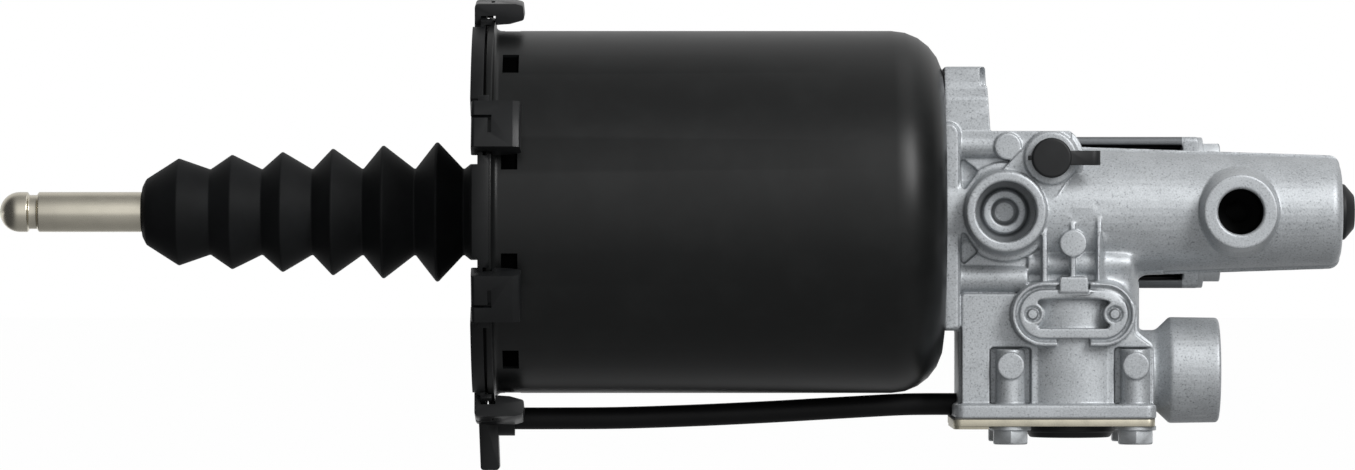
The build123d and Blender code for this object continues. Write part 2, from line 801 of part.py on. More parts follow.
def valve_block():
    """Lower block with the round valve housing, the screw columns and the bottom flange."""
    left, right, low_right = valve_left_x, valve_right_x, valve_low_right_x
    bottom = valve_bottom_z
    shoulder = valve_shoulder_z
    panel_top = valve_panel_top_z
    block = prism(
        outline(
            (left, panel_top, 0.8),
            (left, bottom),
            (low_right, bottom),
            (low_right, shoulder - 3.9, 2.5),
            (right + 0.4, shoulder, 2.0),
            (right, valve_ridge_z + 1.4, 5.0),
            (block_low_end_x, valve_ridge_z + 1.4),
            (block_low_end_x, panel_top),
        ),
        valve_rear_y - 10,
        valve_front_y + 4,
    )
    panel = prism(
        outline(
            (left + 0.8, panel_top, 1),
            (left + 0.8, bottom),
            (low_right - 0.8, bottom),
            (low_right - 0.8, shoulder - 4.6, 2),
            (right - 0.6, shoulder - 0.8, 2),
            (right - 0.6, panel_top, 3),
        ),
        0,
        valve_front_y,
    )
    rear = prism(
        outline(
            (left, panel_top, 1),
            (left, bottom),
            (low_right, bottom),
            (low_right, shoulder - 3.9, 2.5),
            (right + 0.4, shoulder, 2.0),
            (right, -20),
            (left + 20, -20),
            (left + 20, panel_top),
        ),
        valve_rear_y,
        0,
    )
    ridge = turned_x(
        (block_low_end_x, 0),
        (block_low_end_x, valve_ridge_radius),
        (right - 0.4, valve_ridge_radius, 2.6),
        (right - 0.4, 0),
        y=valve_ridge_y,
        z=valve_ridge_z,
    )
    throat = prism(
        outline(
            (right - 2, -30),
            (right, -30),
            (right, -18.7, 5.0),
            (right + 9, -18.7),
            (right + 9, -10),
            (right - 2, -10),
        ),
        12,
        -4,
    )
    housing = rod_z(bottom, -21.0, valve_housing_radius, x=valve_x)
    body = block + panel + rear + ridge + throat + housing
    for side in (-1, 1):
        column_x = valve_x + side * bolt_half_x
        low, high = sorted((valve_x + side * 12.4, valve_x + side * 24.6))
        top = pocket_top_z
        pocket_face = outline((low, bottom), (high, bottom), (high, top, 1.2), (low, top, 1.2))
        body -= prism(pocket_face, pocket_floor_y, -30, taper=-2)
        body += rod_z(bottom, pocket_top_z - 0.5, column_radius, x=column_x, y=-bolt_half_y + 0.6)
        body += ejector_pad(column_x, -45.8, -22.4)
    half_depth = valve_flange_half_depth
    foot = plate(
        outline(
            (valve_flange_left_x, -half_depth, 3),
            (valve_flange_right_x, -half_depth, 3),
            (valve_flange_right_x, half_depth, 3),
            (valve_flange_left_x, half_depth, 3),
        ),
        valve_flange_bottom_z,
        valve_bottom_z + 0.4,
    )
    foot = fillet(foot.edges().group_by(Axis.Z)[-1], 0.9)
    notch = rod_x(valve_flange_left_x - 1, left, hose_radius + 2 * contact_gap, y=hose_y, z=hose_end_z)
    return body + (foot - notch)


def stadium_pad():
    """Stadium-shaped pad on the valve housing: broken rim, groove, plate with pocket and pins."""
    centre = Pos(valve_x, stadium_z)
    length, width = stadium_length, stadium_width
    face_y = stadium_face_y
    floor_y = face_y + stadium_groove_depth
    plate_y = face_y + stadium_plate_step
    rim_inner = 2 * stadium_rim
    plate_inset = 2 * (stadium_rim + stadium_groove)
    base = prism(centre * SlotOverall(length + 0.6, width + 0.6), -8, floor_y - 0.1, taper=1)
    rim = prism(centre * SlotOverall(length, width), floor_y, face_y + 0.3)
    rim += prism(centre * SlotOverall(length, width), face_y + 0.3, face_y, taper=40)
    rim -= prism(centre * SlotOverall(length - rim_inner, width - rim_inner), floor_y + 1, face_y - 1)
    plate_face = centre * SlotOverall(length - plate_inset, width - plate_inset)
    break_middle_z = (stadium_plate_top_z + stadium_plate_bottom_z) / 2
    break_height = stadium_plate_top_z - stadium_plate_bottom_z
    plate_face += Pos(valve_x, break_middle_z) * Rectangle(stadium_break, break_height)
    pad = base + rim
    for low_z, high_z in ((stadium_plate_top_z, -18), (-45, stadium_plate_bottom_z)):
        gap = Pos(valve_x, face_y, (low_z + high_z) / 2)
        pad -= gap * Box(stadium_break, 2 * (valve_front_y - face_y), high_z - low_z)
    pad += prism(plate_face, floor_y, plate_y)
    pin_places = [Pos(valve_x + side * stadium_pin_span, stadium_z) for side in (-1, 1)]
    pocket = prism(centre * RectangleRounded(21.5, 8.7, 1.2), -15, face_y - 1)
    for place in pin_places:
        pocket -= prism(place * Circle(3.4), -15, face_y - 1)
    floor = rod_z(stadium_z - 6, stadium_z + 6, valve_housing_radius, x=valve_x)
    pad = pad - pocket + floor
    for place in pin_places:
        pad -= prism(place * (Circle(2.4) - Circle(1.7)), face_y + 1.4, face_y - 1)
        pad -= prism(place * Circle(1.1), face_y + 1.1, face_y - 1)
        pad += prism(place * Circle(0.9), face_y + 1.2, plate_y)
    tab_half = 4.2
    tab = prism(
        outline(
            (valve_x - tab_half, stadium_plate_top_z - 0.3),
            (valve_x + tab_half, stadium_plate_top_z - 0.3),
            (valve_x + tab_half, -19.4, 0.8),
            (valve_x - tab_half, -19.4, 0.8),
        ),
        -8,
        plate_y - 0.6,
    )
    return pad + tab


def ribs():
    """Thin ribs that rise out of the barrel's root, and two ejector pads."""
    half = 0.7
    result = []
    for x, top_z in ((valve_x - 8.4, -4.6), (valve_x + 7.8, -0.8)):
        shape = outline((-6, top_z), (-18.3, top_z), (-19.4, top_z - 6.5, 3), (-19.7, -21), (-6, -21))
        result.append(slab(shape, x - half, x + half))
    spike = slab(outline((-8, -9), (-20.0, -9), (-18.6, -3.2), (-8, -3.2)), valve_x - half, valve_x + half)
    stem = slab(outline((-8, -20), (-20.0, -20), (-20.2, -9), (-8, -9)), valve_x - half, valve_x + half)
    lower_pad = ejector_pad(valve_x, -9.4, -20.6)
    upper_pad = ejector_pad(18.7, 19.5, lug_front_y - 1.1)
    return result + [lower_pad, spike, stem, upper_pad]


def supply_boss():
    """Air supply boss: round neck, cone and wide cylinder that faces along the rod axis."""
    return turned_x(
        (30, 0),
        (30, supply_neck_radius),
        (supply_neck_x, supply_neck_radius, 2.0),
        (supply_neck_x + 4.1, supply_radius, 1.5),
        (supply_face_x, supply_radius - 0.2, 1.2),
        (supply_face_x, 0),
        z=supply_z,
    )


def mounting_arm():
    """Channel behind the barrel with an end wall and two bolt sleeves, tied to the block by webs."""
    half = arm_half_height
    outer = slab(
        outline(
            (arm_front_y, -half, 1.2),
            (arm_rear_y, -half, 2.5),
            (arm_rear_y, half, 2.5),
            (arm_front_y, half, 1.2),
        ),
        0,
        arm_end_x,
    )
    inner = slab(
        outline(
            (arm_front_y - 5, -half + arm_wall),
            (arm_rear_y - 3.5, -half + arm_wall, 2),
            (arm_rear_y - 3.5, half - arm_wall, 2),
            (arm_front_y - 5, half - arm_wall),
        ),
        lug_thickness,
        arm_end_x - arm_end_wall,
    )
    arm = outer - inner
    for y, z in mount_places:
        arm += rod_x(0, arm_end_x, mount_sleeve_radius, y=y, z=z)
    root_start_y, root_end_y = body_rear_y - 4, arm_front_y + 2
    root_face = outline(
        (root_start_y, -half + 2),
        (root_end_y, -half + 2),
        (root_end_y, half - 2),
        (root_start_y, half - 2),
    )
    arm += slab(root_face, 0, lug_thickness)
    arm += prism(outline((2, -3), (70, -3, 2), (70, 3, 2), (2, 3)), arm_rear_y - 2, 10)
    for y, z in mount_places:
        arm -= rod_x(-1, arm_end_x + 1, mount_hole_radius, y=y, z=z)
    return arm


def casting_cuts():
    """Bores, ports, pockets and threaded holes of the casting."""
    cuts = []
    cuts.append(rod_x(gland_depth, bore_end_x, bore_radius))
    cuts.append(rod_x(-spigot_length - 1, gland_depth, gland_radius))
    groove_end_x = circlip_x + circlip_thickness + running_gap
    cuts.append(ring_x(circlip_x - contact_gap, groove_end_x, 10, gland_radius + 0.8))
    cuts.append(
        turned_y(
            (hydraulic_face_y - 1, 0),
            (hydraulic_face_y - 1, hydraulic_port_radius + 1.4),
            (hydraulic_face_y + 0.6, hydraulic_port_radius),
            (hydraulic_face_y + hydraulic_thread_depth, hydraulic_port_radius),
            (hydraulic_face_y + hydraulic_thread_depth + 3.0, 3.0),
            (-4, 3.0),
            (-4, 0),
            x=hydraulic_port_x,
        )
    )
    seat_y = stepped_face_y + stepped_thread_depth
    cuts.append(
        turned_y(
            (stepped_face_y - 1, 0),
            (stepped_face_y - 1, stepped_bore_radius + 1.2),
            (stepped_face_y + 0.4, stepped_bore_radius),
            (seat_y - 2.0, stepped_bore_radius),
            (seat_y - 2.0, stepped_bore_radius + 0.6),
            (seat_y, stepped_bore_radius + 0.6),
            (seat_y, stepped_seat_radius + 0.7),
            (seat_y - 2.0, stepped_seat_radius - 0.3),
            (seat_y - 2.0, stepped_hole_radius + 0.3),
            (seat_y - 1.4, stepped_hole_radius),
            (seat_y + 2.6, stepped_hole_radius - 0.3),
            (seat_y + 3.2, 2.65),
            (seat_y + 3.2, 0),
            x=stepped_port_x,
        )
    )
    cuts.append(rod_y(bleed_face_y - 1, -12, 2.6, x=bleed_x, z=bleed_z))
    cuts.append(rod_y(-12.5, -6, 1.2, x=bleed_x, z=bleed_z * 0.4))
    gland_skin = rod_x(-1, gland_depth + 6, gland_radius + gland_wall)
    for corners in (((4.6, 16.6), (10.1, 12.2), (5.0, 5.3)), ((4.6, -4.5), (10.1, -11.9), (5.0, -16.3))):
        recess = prism(outline(*[(x, z, 0.8) for x, z in corners]), -12, -40)
        cuts.append(recess - gland_skin)
    thread_start_x = supply_face_x - supply_thread_depth
    cuts.append(rod_x(thread_start_x, supply_face_x + 1, supply_thread_radius, z=supply_z))
    cuts.append(
        turned_x(
            (supply_face_x - 0.8, 0),
            (supply_face_x - 0.8, supply_thread_radius),
            (supply_face_x + 0.7, supply_thread_radius + 1.5),
            (supply_face_x + 0.7, 0),
            z=supply_z,
        )
    )
    cuts.append(rod_x(valve_x + 10, thread_start_x + 1, 5.0, z=supply_z))
    for y, z in can_screw_places:
        cuts.append(rod_x(-1, 15, can_screw_thread_radius - 0.4, y=y, z=z))
    for x, y in bolt_places:
        cuts.append(rod_z(valve_flange_bottom_z - 1, valve_bottom_z + column_bolt_depth, 2.6, x=x, y=y))
    cuts.append(rod_z(valve_flange_bottom_z - 1, valve_seat_z + 0.6, insert_radius + running_gap, x=valve_x))
    cuts.append(rod_z(valve_seat_z, relay_bore_top_z, relay_radius, x=valve_x))
    cuts.append(rod_z(relay_bore_top_z - 1, -8, 3.0, x=valve_x))
    cuts.append(rod_x(hose_end_x - 1, hose_end_x + 18, hose_bore, y=hose_y, z=hose_end_z))
    cuts.append(rod_x(bore_end_x - 1, barrel_end_x + 1, 5.2))
    return cuts


def housing_casting():
    """Die-cast housing with every boss, pad, rib and bore."""
    body = casting_body() + barrel() + casting_lug()
    body += valve_block()
    body += supply_boss()
    body += mounting_arm()
    body += boss_y(stepped_port_x, 0, stepped_boss_radius, stepped_face_y, stepped_root_y, 1.6)
    body += turned_y(
        (hydraulic_face_y, 0),
        (hydraulic_face_y, hydraulic_boss_radius, 0.5),
        (-16.6, hydraulic_root_radius - 0.8, 1.4),
        (-13.0, hydraulic_root_radius + 0.4),
        (-8.0, hydraulic_root_radius + 0.6),
        (-8.0, 0),
        x=hydraulic_port_x,
    )
    body += stadium_pad()
    for piece in ribs():
        body += piece
    body += rod_x(-spigot_length, 2, spigot_radius)
    for cut in casting_cuts():
        body -= cut
    return body


def barrel_end_plug():
    """Rubber plug in the hole at the barrel's end, with a conical head."""
    return turned_x(
        (barrel_end_x - 7, 0),
        (barrel_end_x - 7, 5.1),
        (barrel_end_x + 0.05, 5.1),
        (barrel_end_x + 0.05, 8.5, 0.4),
        (barrel_end_x + 1.4, 8.3, 0.6),
        (barrel_end_x + 4.2, 5.0, 0.7),
        (barrel_end_x + 4.2, 0),
    )


def bleed_screw():
    """Bleed nipple: threaded stem, hexagon and ribbed neck, hidden under its dust cap."""
    stem = turned_y(
        (-12.5, 0),
        (-12.5, 2.5),
        (bleed_face_y - 0.05, 2.5),
        (bleed_face_y - 0.05, 0),
        x=bleed_x,
        z=bleed_z,
    )
    hexagon = prism(Pos(bleed_x, bleed_z) * RegularPolygon(3.8, 6), bleed_face_y - 0.05, bleed_face_y - 2.2)
    neck = rod_y(bleed_face_y - 4.2, bleed_face_y - 2.1, 2.2, x=bleed_x, z=bleed_z)
    return stem + hexagon + neck


def bleed_dust_cap():
    """Rubber cap over the bleed screw with a strap that loops back to a ring round its foot."""
    shell = turned_y(
        (bleed_face_y - 0.1, 4.6),
        (bleed_face_y - 0.1, bleed_cap_radius - 0.2, 0.3),
        (bleed_cap_face_y, bleed_cap_radius, 0.8),
        (bleed_cap_face_y, 0),
        (bleed_face_y - 4.4, 0),
        (bleed_face_y - 4.4, 4.6),
        x=bleed_x,
        z=bleed_z,
    )
    width = 4.3
    strap_end_x = bleed_x + 14.6
    face = outline(
        (bleed_x + 4.9, bleed_cap_face_y + 0.5),
        (strap_end_x, bleed_cap_face_y + 0.5, 2.7),
        (strap_end_x, bleed_cap_face_y + 5.9, 2.7),
        (bleed_x + 4.9, bleed_cap_face_y + 5.9),
        (bleed_x + 4.9, bleed_cap_face_y + 4.5),
        (strap_end_x - 1.4, bleed_cap_face_y + 4.5, 1.3),
        (strap_end_x - 1.4, bleed_cap_face_y + 1.9, 1.3),
        (bleed_x + 4.9, bleed_cap_face_y + 1.9),
    )
    strap = extrude(Plane.XY.offset(bleed_z - width / 2) * face, amount=width)
    nub = Pos(bleed_x - bleed_cap_radius - 0.3, bleed_cap_face_y + 1.2, bleed_z) * Box(1.4, 1.4, 1.4)
    return shell + strap + nub


def plate_outline():
    half = valve_flange_half_depth
    return outline(
        (valve_flange_left_x - 0.5, -half, 2.5),
        (valve_flange_right_x - 0.4, -half, 2.5),
        (valve_flange_right_x - 0.4, half, 2.5),
        (valve_flange_left_x - 0.5, half, 2.5),
    )


def valve_cover_gasket():
    face = plate_outline() - Pos(valve_x, 0) * Circle(14.5)
    for x, y in bolt_places:
        face -= Pos(x, y) * Circle(bolt_radius + 0.3)
    return plate(face, plate_top_z, valve_flange_bottom_z)


def valve_cover_plate():
    """Pressed plate under the valve block with a deeper pad at its left edge."""
    body = plate(plate_outline(), plate_bottom_z, plate_top_z)
    pad_left, pad_right = valve_flange_left_x - 0.3, valve_x - bolt_half_x - 6.6
    half = valve_flange_half_depth - 0.5
    pad_face = outline((pad_left, -half, 2), (pad_right, -half), (pad_right, half), (pad_left, half, 2))
    body += plate(pad_face, plate_bottom_z - 0.9, plate_bottom_z + 0.1)
    for x, y in bolt_places:
        body -= rod_z(plate_bottom_z - 2, plate_top_z + 1, bolt_radius + 0.3, x=x, y=y)
    return body - rod_z(plate_bottom_z - 1, plate_top_z + 1, 9.0, x=valve_x)


def hex_head(flats, height):
    """Hexagon head with chamfered corners, standing on z=0."""
    across = flats / cos(radians(30))
    body = extrude(RegularPolygon(across / 2, 6, rotation=30), amount=height)
    cone = Pos(0, 0, height / 2) * Cone(across / 2 + 1.2, flats / 2 - 0.3, height)
    return body & (cone + Pos(0, 0, height * 0.3) * Cylinder(across / 2 + 1, height * 0.8))


def valve_cover_bolts():
    solids = []
    head_z = plate_bottom_z - bolt_washer_thickness
    for x, y in bolt_places:
        head = Pos(x, y, head_z) * (Rot(180, 0, 0) * hex_head(bolt_head_flats, bolt_head_height))
        shank = rod_z(head_z - 0.5, valve_bottom_z + 9, bolt_radius - 0.45, x=x, y=y)
        solids.append(head + shank)
    return Compound(children=solids)


def valve_cover_washers():
    solids = []
    bottom_z = plate_bottom_z - bolt_washer_thickness
    for x, y in bolt_places:
        solids.append(ring_z(bottom_z, plate_bottom_z, bolt_radius + 0.2, bolt_washer_radius, x=x, y=y))
    return Compound(children=solids)


def exhaust_dome():
    """Rubber exhaust cap with a stepped edge and a stud that snaps into the plate."""
    top = plate_bottom_z
    return turned_z(
        (top + plate_thickness + 0.5, 0),
        (top + plate_thickness + 0.5, 8.9),
        (top, 8.9),
        (top, dome_radius, 0.3),
        (top - 2.1, dome_radius, 0.5),
        (top - 2.3, dome_radius - 0.8),
        (top - dome_height, dome_radius - 1.6, 1.0),
        (top - dome_height, 5.5, 0.5),
        (top - dome_height + 0.8, 4.8, 0.5),
        (top - dome_height + 0.8, 0),
        x=valve_x,
    )


def mounting_bolts():
    """Two bolts with reduced shanks, whose full-size threads stand out of the mounting face."""
    solids = []
    head_x = arm_end_x + mount_washer_thickness
    hexagon = Rot(0, 90, 0) * (Rot(0, 0, 8) * hex_head(mount_head_flats, mount_head_height))
    for y, z in mount_places:
        head = Pos(head_x, y, z) * hexagon
        thread = rod_x(-mount_bolt_reach, 0, mount_radius, y=y, z=z)
        shank = rod_x(-0.5, head_x + 0.5, mount_shank_radius, y=y, z=z)
        solids.append(head + shank + thread)
    return Compound(children=solids)


def mounting_washers():
    solids = []
    end_x = arm_end_x + mount_washer_thickness
    for y, z in mount_places:
        solids.append(ring_x(arm_end_x, end_x, mount_radius + 0.3, mount_washer_radius, y=y, z=z))
    return Compound(children=solids)


def can_gasket():
    """Thin fibre gasket ring between the bottom of the can and the spigot's shoulder."""
    return ring_x(-can_wall - 0.6, -can_wall, spigot_radius + running_gap, spigot_radius + 1.5)


def can_screws():
    solids = []
    for y, z in can_screw_places:
        head = rod_x(-can_wall - 6, -can_wall, can_screw_head_radius, y=y, z=z)
        head -= Pos(-can_wall - 6, y, z) * (Rot(0, 90, 0) * extrude(RegularPolygon(2.9, 6), amount=3.5))
        shank = rod_x(-can_wall - 0.5, 13, can_screw_thread_radius - 0.45, y=y, z=z)
        solids.append(head + shank)
    return Compound(children=solids)


def plunger_cup_seal():
    start = gland_depth - cup_length
    inner = plunger_radius + running_gap
    outer = gland_radius
    middle = (inner + outer) / 2
    return turned_x(
        (start, inner),
        (start, outer),
        (gland_depth, outer),
        (gland_depth, outer - 1),
        (start + 2.5, middle, 0.4),
        (gland_depth, inner + 1),
        (gland_depth, inner),
    )


def plunger_guide_bush():
    end = gland_depth - cup_length
    return ring_x(end - guide_length, end, plunger_radius + running_gap, gland_radius)


def gland_circlip():
    """Snap ring with a gap that holds the guide bush in the gland."""
    ring = ring_x(circlip_x, circlip_x + circlip_thickness, 10.4, gland_radius + 0.7)
    return ring - Pos(circlip_x, 0, -gland_radius) * Box(8, 5, 8)


def relay_piston():
    """Relay piston with a hollow stem that works as the exhaust seat."""
    top = relay_top_z
    stem_start = top - relay_height
    stem_end = stem_start - relay_stem_length
    body = turned_z(
        (top, 2.0),
        (top, relay_radius - running_gap, 0.4),
        (stem_start, relay_radius - running_gap, 0.4),
        (stem_start, relay_stem_radius + 1.5, 1.0),
        (stem_end, relay_stem_radius),
        (stem_end, relay_stem_radius - 1.5),
        (stem_start + 1, 2.0),
        x=valve_x,
    )
    return body - ring_z(top - 4.6, top - 2.0, relay_radius - 2.2, relay_radius + 1, x=valve_x)


def coil(bottom_z, top_z, radius, wire_radius, turns):
    """Coil spring about the relay valve's axis."""
    length = top_z - bottom_z
    helix = Pos(valve_x, 0, bottom_z) * Helix(pitch=length / turns, height=length, radius=radius)
    section = Plane(origin=helix @ 0, z_dir=helix % 0) * RegularPolygon(wire_radius, 6)
    return sweep(section, path=helix, is_frenet=True)


def relay_spring():
    """Flat coil spring that lifts the relay piston off the inlet valve."""
    return coil(valve_seat_z + 1.3, relay_top_z - relay_height - 0.7, 9.6, 0.55, 2)


def relay_piston_seal():
    return ring_z(relay_top_z - 4.5, relay_top_z - 2.1, relay_radius - 2.2, relay_radius - 0.01, x=valve_x)


def valve_insert():
    """Turned insert with the inlet seat, held in the block by the snap ring and the plate."""
    seat = valve_seat_z
    return turned_z(
        (seat + 0.6, inlet_radius - 2.5),
        (seat + 0.6, insert_radius),
        (plate_top_z + 1.4, insert_radius),
        (plate_top_z + 1.4, inlet_radius + 3),
        (seat - 3.0, inlet_radius + 3),
        (seat - 3.0, inlet_radius + 1.0),
        (seat, inlet_radius + 1.0),
        (seat, inlet_radius - 2.5),
        x=valve_x,
    )


def inlet_valve():
    """Tubular valve with a rubber-faced collar that is pressed up against the inlet seat."""
    top = valve_seat_z - contact_gap
    collar_bottom = valve_seat_z - inlet_collar
    tube_bottom = plate_top_z + 2.0 + inlet_travel
    return turned_z(
        (top, 2.2),
        (top, inlet_radius - 0.2, 0.3),
        (collar_bottom, inlet_radius - 0.2, 0.3),
        (collar_bottom, inlet_tube_radius),
        (tube_bottom, inlet_tube_radius),
        (tube_bottom, 2.2),
        x=valve_x,
    )


def valve_spring():
    return coil(plate_top_z + 5.3, valve_seat_z - inlet_collar - 0.8, 6.2, 0.6, 4)


def valve_guide():
    """Disc under the valve spring that guides the valve's tube."""
    return ring_z(
        plate_top_z + 1.5,
        plate_top_z + 4.5,
        inlet_tube_radius + running_gap,
        inlet_radius + 2.9,
        x=valve_x,
    )


def valve_circlip():
    ring = ring_z(plate_top_z + 0.2, plate_top_z + 1.3, insert_radius - 3.8, insert_radius, x=valve_x)
    return ring - Pos(valve_x, 0.3 - insert_radius, plate_top_z) * Box(5, 9, 6)


builders = (
    push_rod,
    air_piston,
    piston_guide_ring,
    piston_lip_seal,
    hydraulic_plunger,
    return_spring,
    bellows,
    cylinder_can,
    end_cover,
    cover_clips,
    breather_hose,
    hose_spigot,
    rod_bush,
    housing_casting,
    barrel_end_plug,
    bleed_screw,
    bleed_dust_cap,
    valve_cover_gasket,
    valve_cover_plate,
    valve_cover_bolts,
    valve_cover_washers,
    exhaust_dome,
    mounting_bolts,
    mounting_washers,
    can_gasket,
    can_screws,
    plunger_cup_seal,
    plunger_guide_bush,
    gland_circlip,
    relay_piston,
    relay_piston_seal,
    relay_spring,
    valve_insert,
    inlet_valve,
    valve_spring,
    valve_guide,
    valve_circlip,
)

os.makedirs("parts", exist_ok=True)
for build in builders:
    export_step(Pos(0, -mount_y, 0) * build(), f"parts/{build.__name__}.step")
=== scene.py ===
"""Final look of an air-assisted clutch servo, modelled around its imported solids.

Lengths are written in millimetres about the push-rod axis, with x = 0 where the can seats on the
casting, and are turned into the frame's metres where they reach a mesh.
"""

import json
import logging
import math
from collections.abc import Sequence
from dataclasses import dataclass
from enum import Enum

import bpy
from mathutils import Matrix, Vector

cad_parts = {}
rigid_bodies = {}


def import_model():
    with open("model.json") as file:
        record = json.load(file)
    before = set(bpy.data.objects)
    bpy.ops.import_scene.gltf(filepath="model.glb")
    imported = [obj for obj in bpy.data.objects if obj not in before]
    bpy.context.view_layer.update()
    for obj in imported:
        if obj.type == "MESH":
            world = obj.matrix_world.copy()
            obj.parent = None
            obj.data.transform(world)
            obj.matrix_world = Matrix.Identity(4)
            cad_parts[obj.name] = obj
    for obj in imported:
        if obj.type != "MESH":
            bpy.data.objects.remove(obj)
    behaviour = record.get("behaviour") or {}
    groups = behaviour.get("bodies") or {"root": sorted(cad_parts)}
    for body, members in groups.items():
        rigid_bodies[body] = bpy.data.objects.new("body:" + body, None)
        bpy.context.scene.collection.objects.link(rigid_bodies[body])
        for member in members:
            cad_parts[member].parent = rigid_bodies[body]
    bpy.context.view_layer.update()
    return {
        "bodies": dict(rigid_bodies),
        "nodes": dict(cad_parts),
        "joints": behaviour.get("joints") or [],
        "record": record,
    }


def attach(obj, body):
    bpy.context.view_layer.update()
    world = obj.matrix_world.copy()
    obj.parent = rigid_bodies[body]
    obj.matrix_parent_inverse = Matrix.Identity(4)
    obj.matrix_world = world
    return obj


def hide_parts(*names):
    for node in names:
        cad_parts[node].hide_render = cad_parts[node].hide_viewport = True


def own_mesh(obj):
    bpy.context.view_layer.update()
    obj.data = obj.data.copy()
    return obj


logging.basicConfig(level=logging.INFO, format="%(message)s")
log = logging.getLogger("clutch_servo")

MM = 0.001
AXIS_Y = -63.0
VALVE_X = 38.0
PHOTO_WIDTH = 1355
TIP_RADIUS = 0.02
ARC_STEP = math.radians(18)
NEARLY_STRAIGHT = math.radians(89)
ARC_SHARE = 0.49
WIDE_ARC = 3.0

Corner = tuple[float, ...]
Colour = tuple[float, float, float]
Pair = tuple[float, float]


def place(x: float, y: float, z: float) -> Vector:
    """Point of the frame, in metres, from millimetres about the push-rod axis."""
    return Vector((x, y + AXIS_Y, z)) * MM


def rounded(corners: Sequence[Corner], closed: bool = True) -> list[Pair]:
    """Outline with an arc at each corner that has a rounding.

    Args:
        corners: (u, v) or (u, v, rounding) for each corner, in order.
        closed: True if the last corner joins the first.

    Returns:
        The (u, v) points of the outline, arcs included.
    """
    points: list[Pair] = []
    count = len(corners)
    for index, corner in enumerate(corners):
        here = Vector(corner[:2])
        rounding = corner[2] if len(corner) > 2 else 0.0
        at_end = not closed and index in (0, count - 1)
        before = Vector(corners[index - 1][:2]) - here
        after = Vector(corners[(index + 1) % count][:2]) - here
        if rounding <= 0 or at_end or before.length < 1e-6 or after.length < 1e-6:
            points.append((here.x, here.y))
            continue
        half = before.angle(after) / 2
        if half > NEARLY_STRAIGHT:
            points.append((here.x, here.y))
            continue
        reach = min(rounding / math.tan(half), before.length * ARC_SHARE, after.length * ARC_SHARE)
        radius = reach * math.tan(half)
        middle = here + (before.normalized() + after.normalized()).normalized() * (radius / math.sin(half))
        start = here + before.normalized() * reach - middle
        end = here + after.normalized() * reach - middle
        sweep = math.atan2(start.x * end.y - start.y * end.x, start.dot(end))
        steps = max(2, round(abs(sweep) / ARC_STEP) + (1 if radius > WIDE_ARC else 0))
        for step in range(steps + 1):
            turn = sweep * step / steps
            points.append(
                (
                    middle.x + start.x * math.cos(turn) - start.y * math.sin(turn),
                    middle.y + start.x * math.sin(turn) + start.y * math.cos(turn),
                )
            )
    return points


def thread(start: float, end: float, radius: float, pitch: float) -> list[Pair]:
    """Profile of a thread from a chamfered tip.

    Args:
        start: Place of the tip along the axis.
        end: Place where the thread ends, further along the axis.
        radius: Radius over the crests.
        pitch: Distance from crest to crest.

    Returns:
        (place along the axis, radius) of each ring.
    """
    chamfer, chamfer_depth = 0.8, 0.9
    first = start + chamfer
    profile = [(start, TIP_RADIUS), (start, radius - chamfer_depth), (first, radius - 0.05)]
    for turn in range(int((end - first) / pitch)):
        foot = first + turn * pitch
        profile += [(foot + pitch * 0.5, radius - pitch * 0.5), (foot + pitch, radius - 0.02)]
    return profile


class Along(Enum):
    """Axis that a piece is turned about: its direction, and the turn of a circle that faces it."""

    X = ((1.0, 0.0, 0.0), (0.0, math.pi / 2, 0.0))
    Z = ((0.0, 0.0, 1.0), (0.0, 0.0, 0.0))

    @property
    def vector(self) -> Vector:
        """Unit vector of the axis."""
        return Vector(self.value[0])

    @property
    def turn(self) -> Corner:
        """Euler angles that face a new circle along the axis."""
        return self.value[1]

    def spot(self, centre: Corner, position: float) -> Vector:
        """Point on the axis through a centre.

        Args:
            centre: A point on the axis; its coordinate along the axis isn't used.
            position: Place along the axis.

        Returns:
            The point in the frame, in metres.
        """
        line = self.vector
        foot = Vector(centre) - line * line.dot(Vector(centre))
        return place(*(foot + line * position))


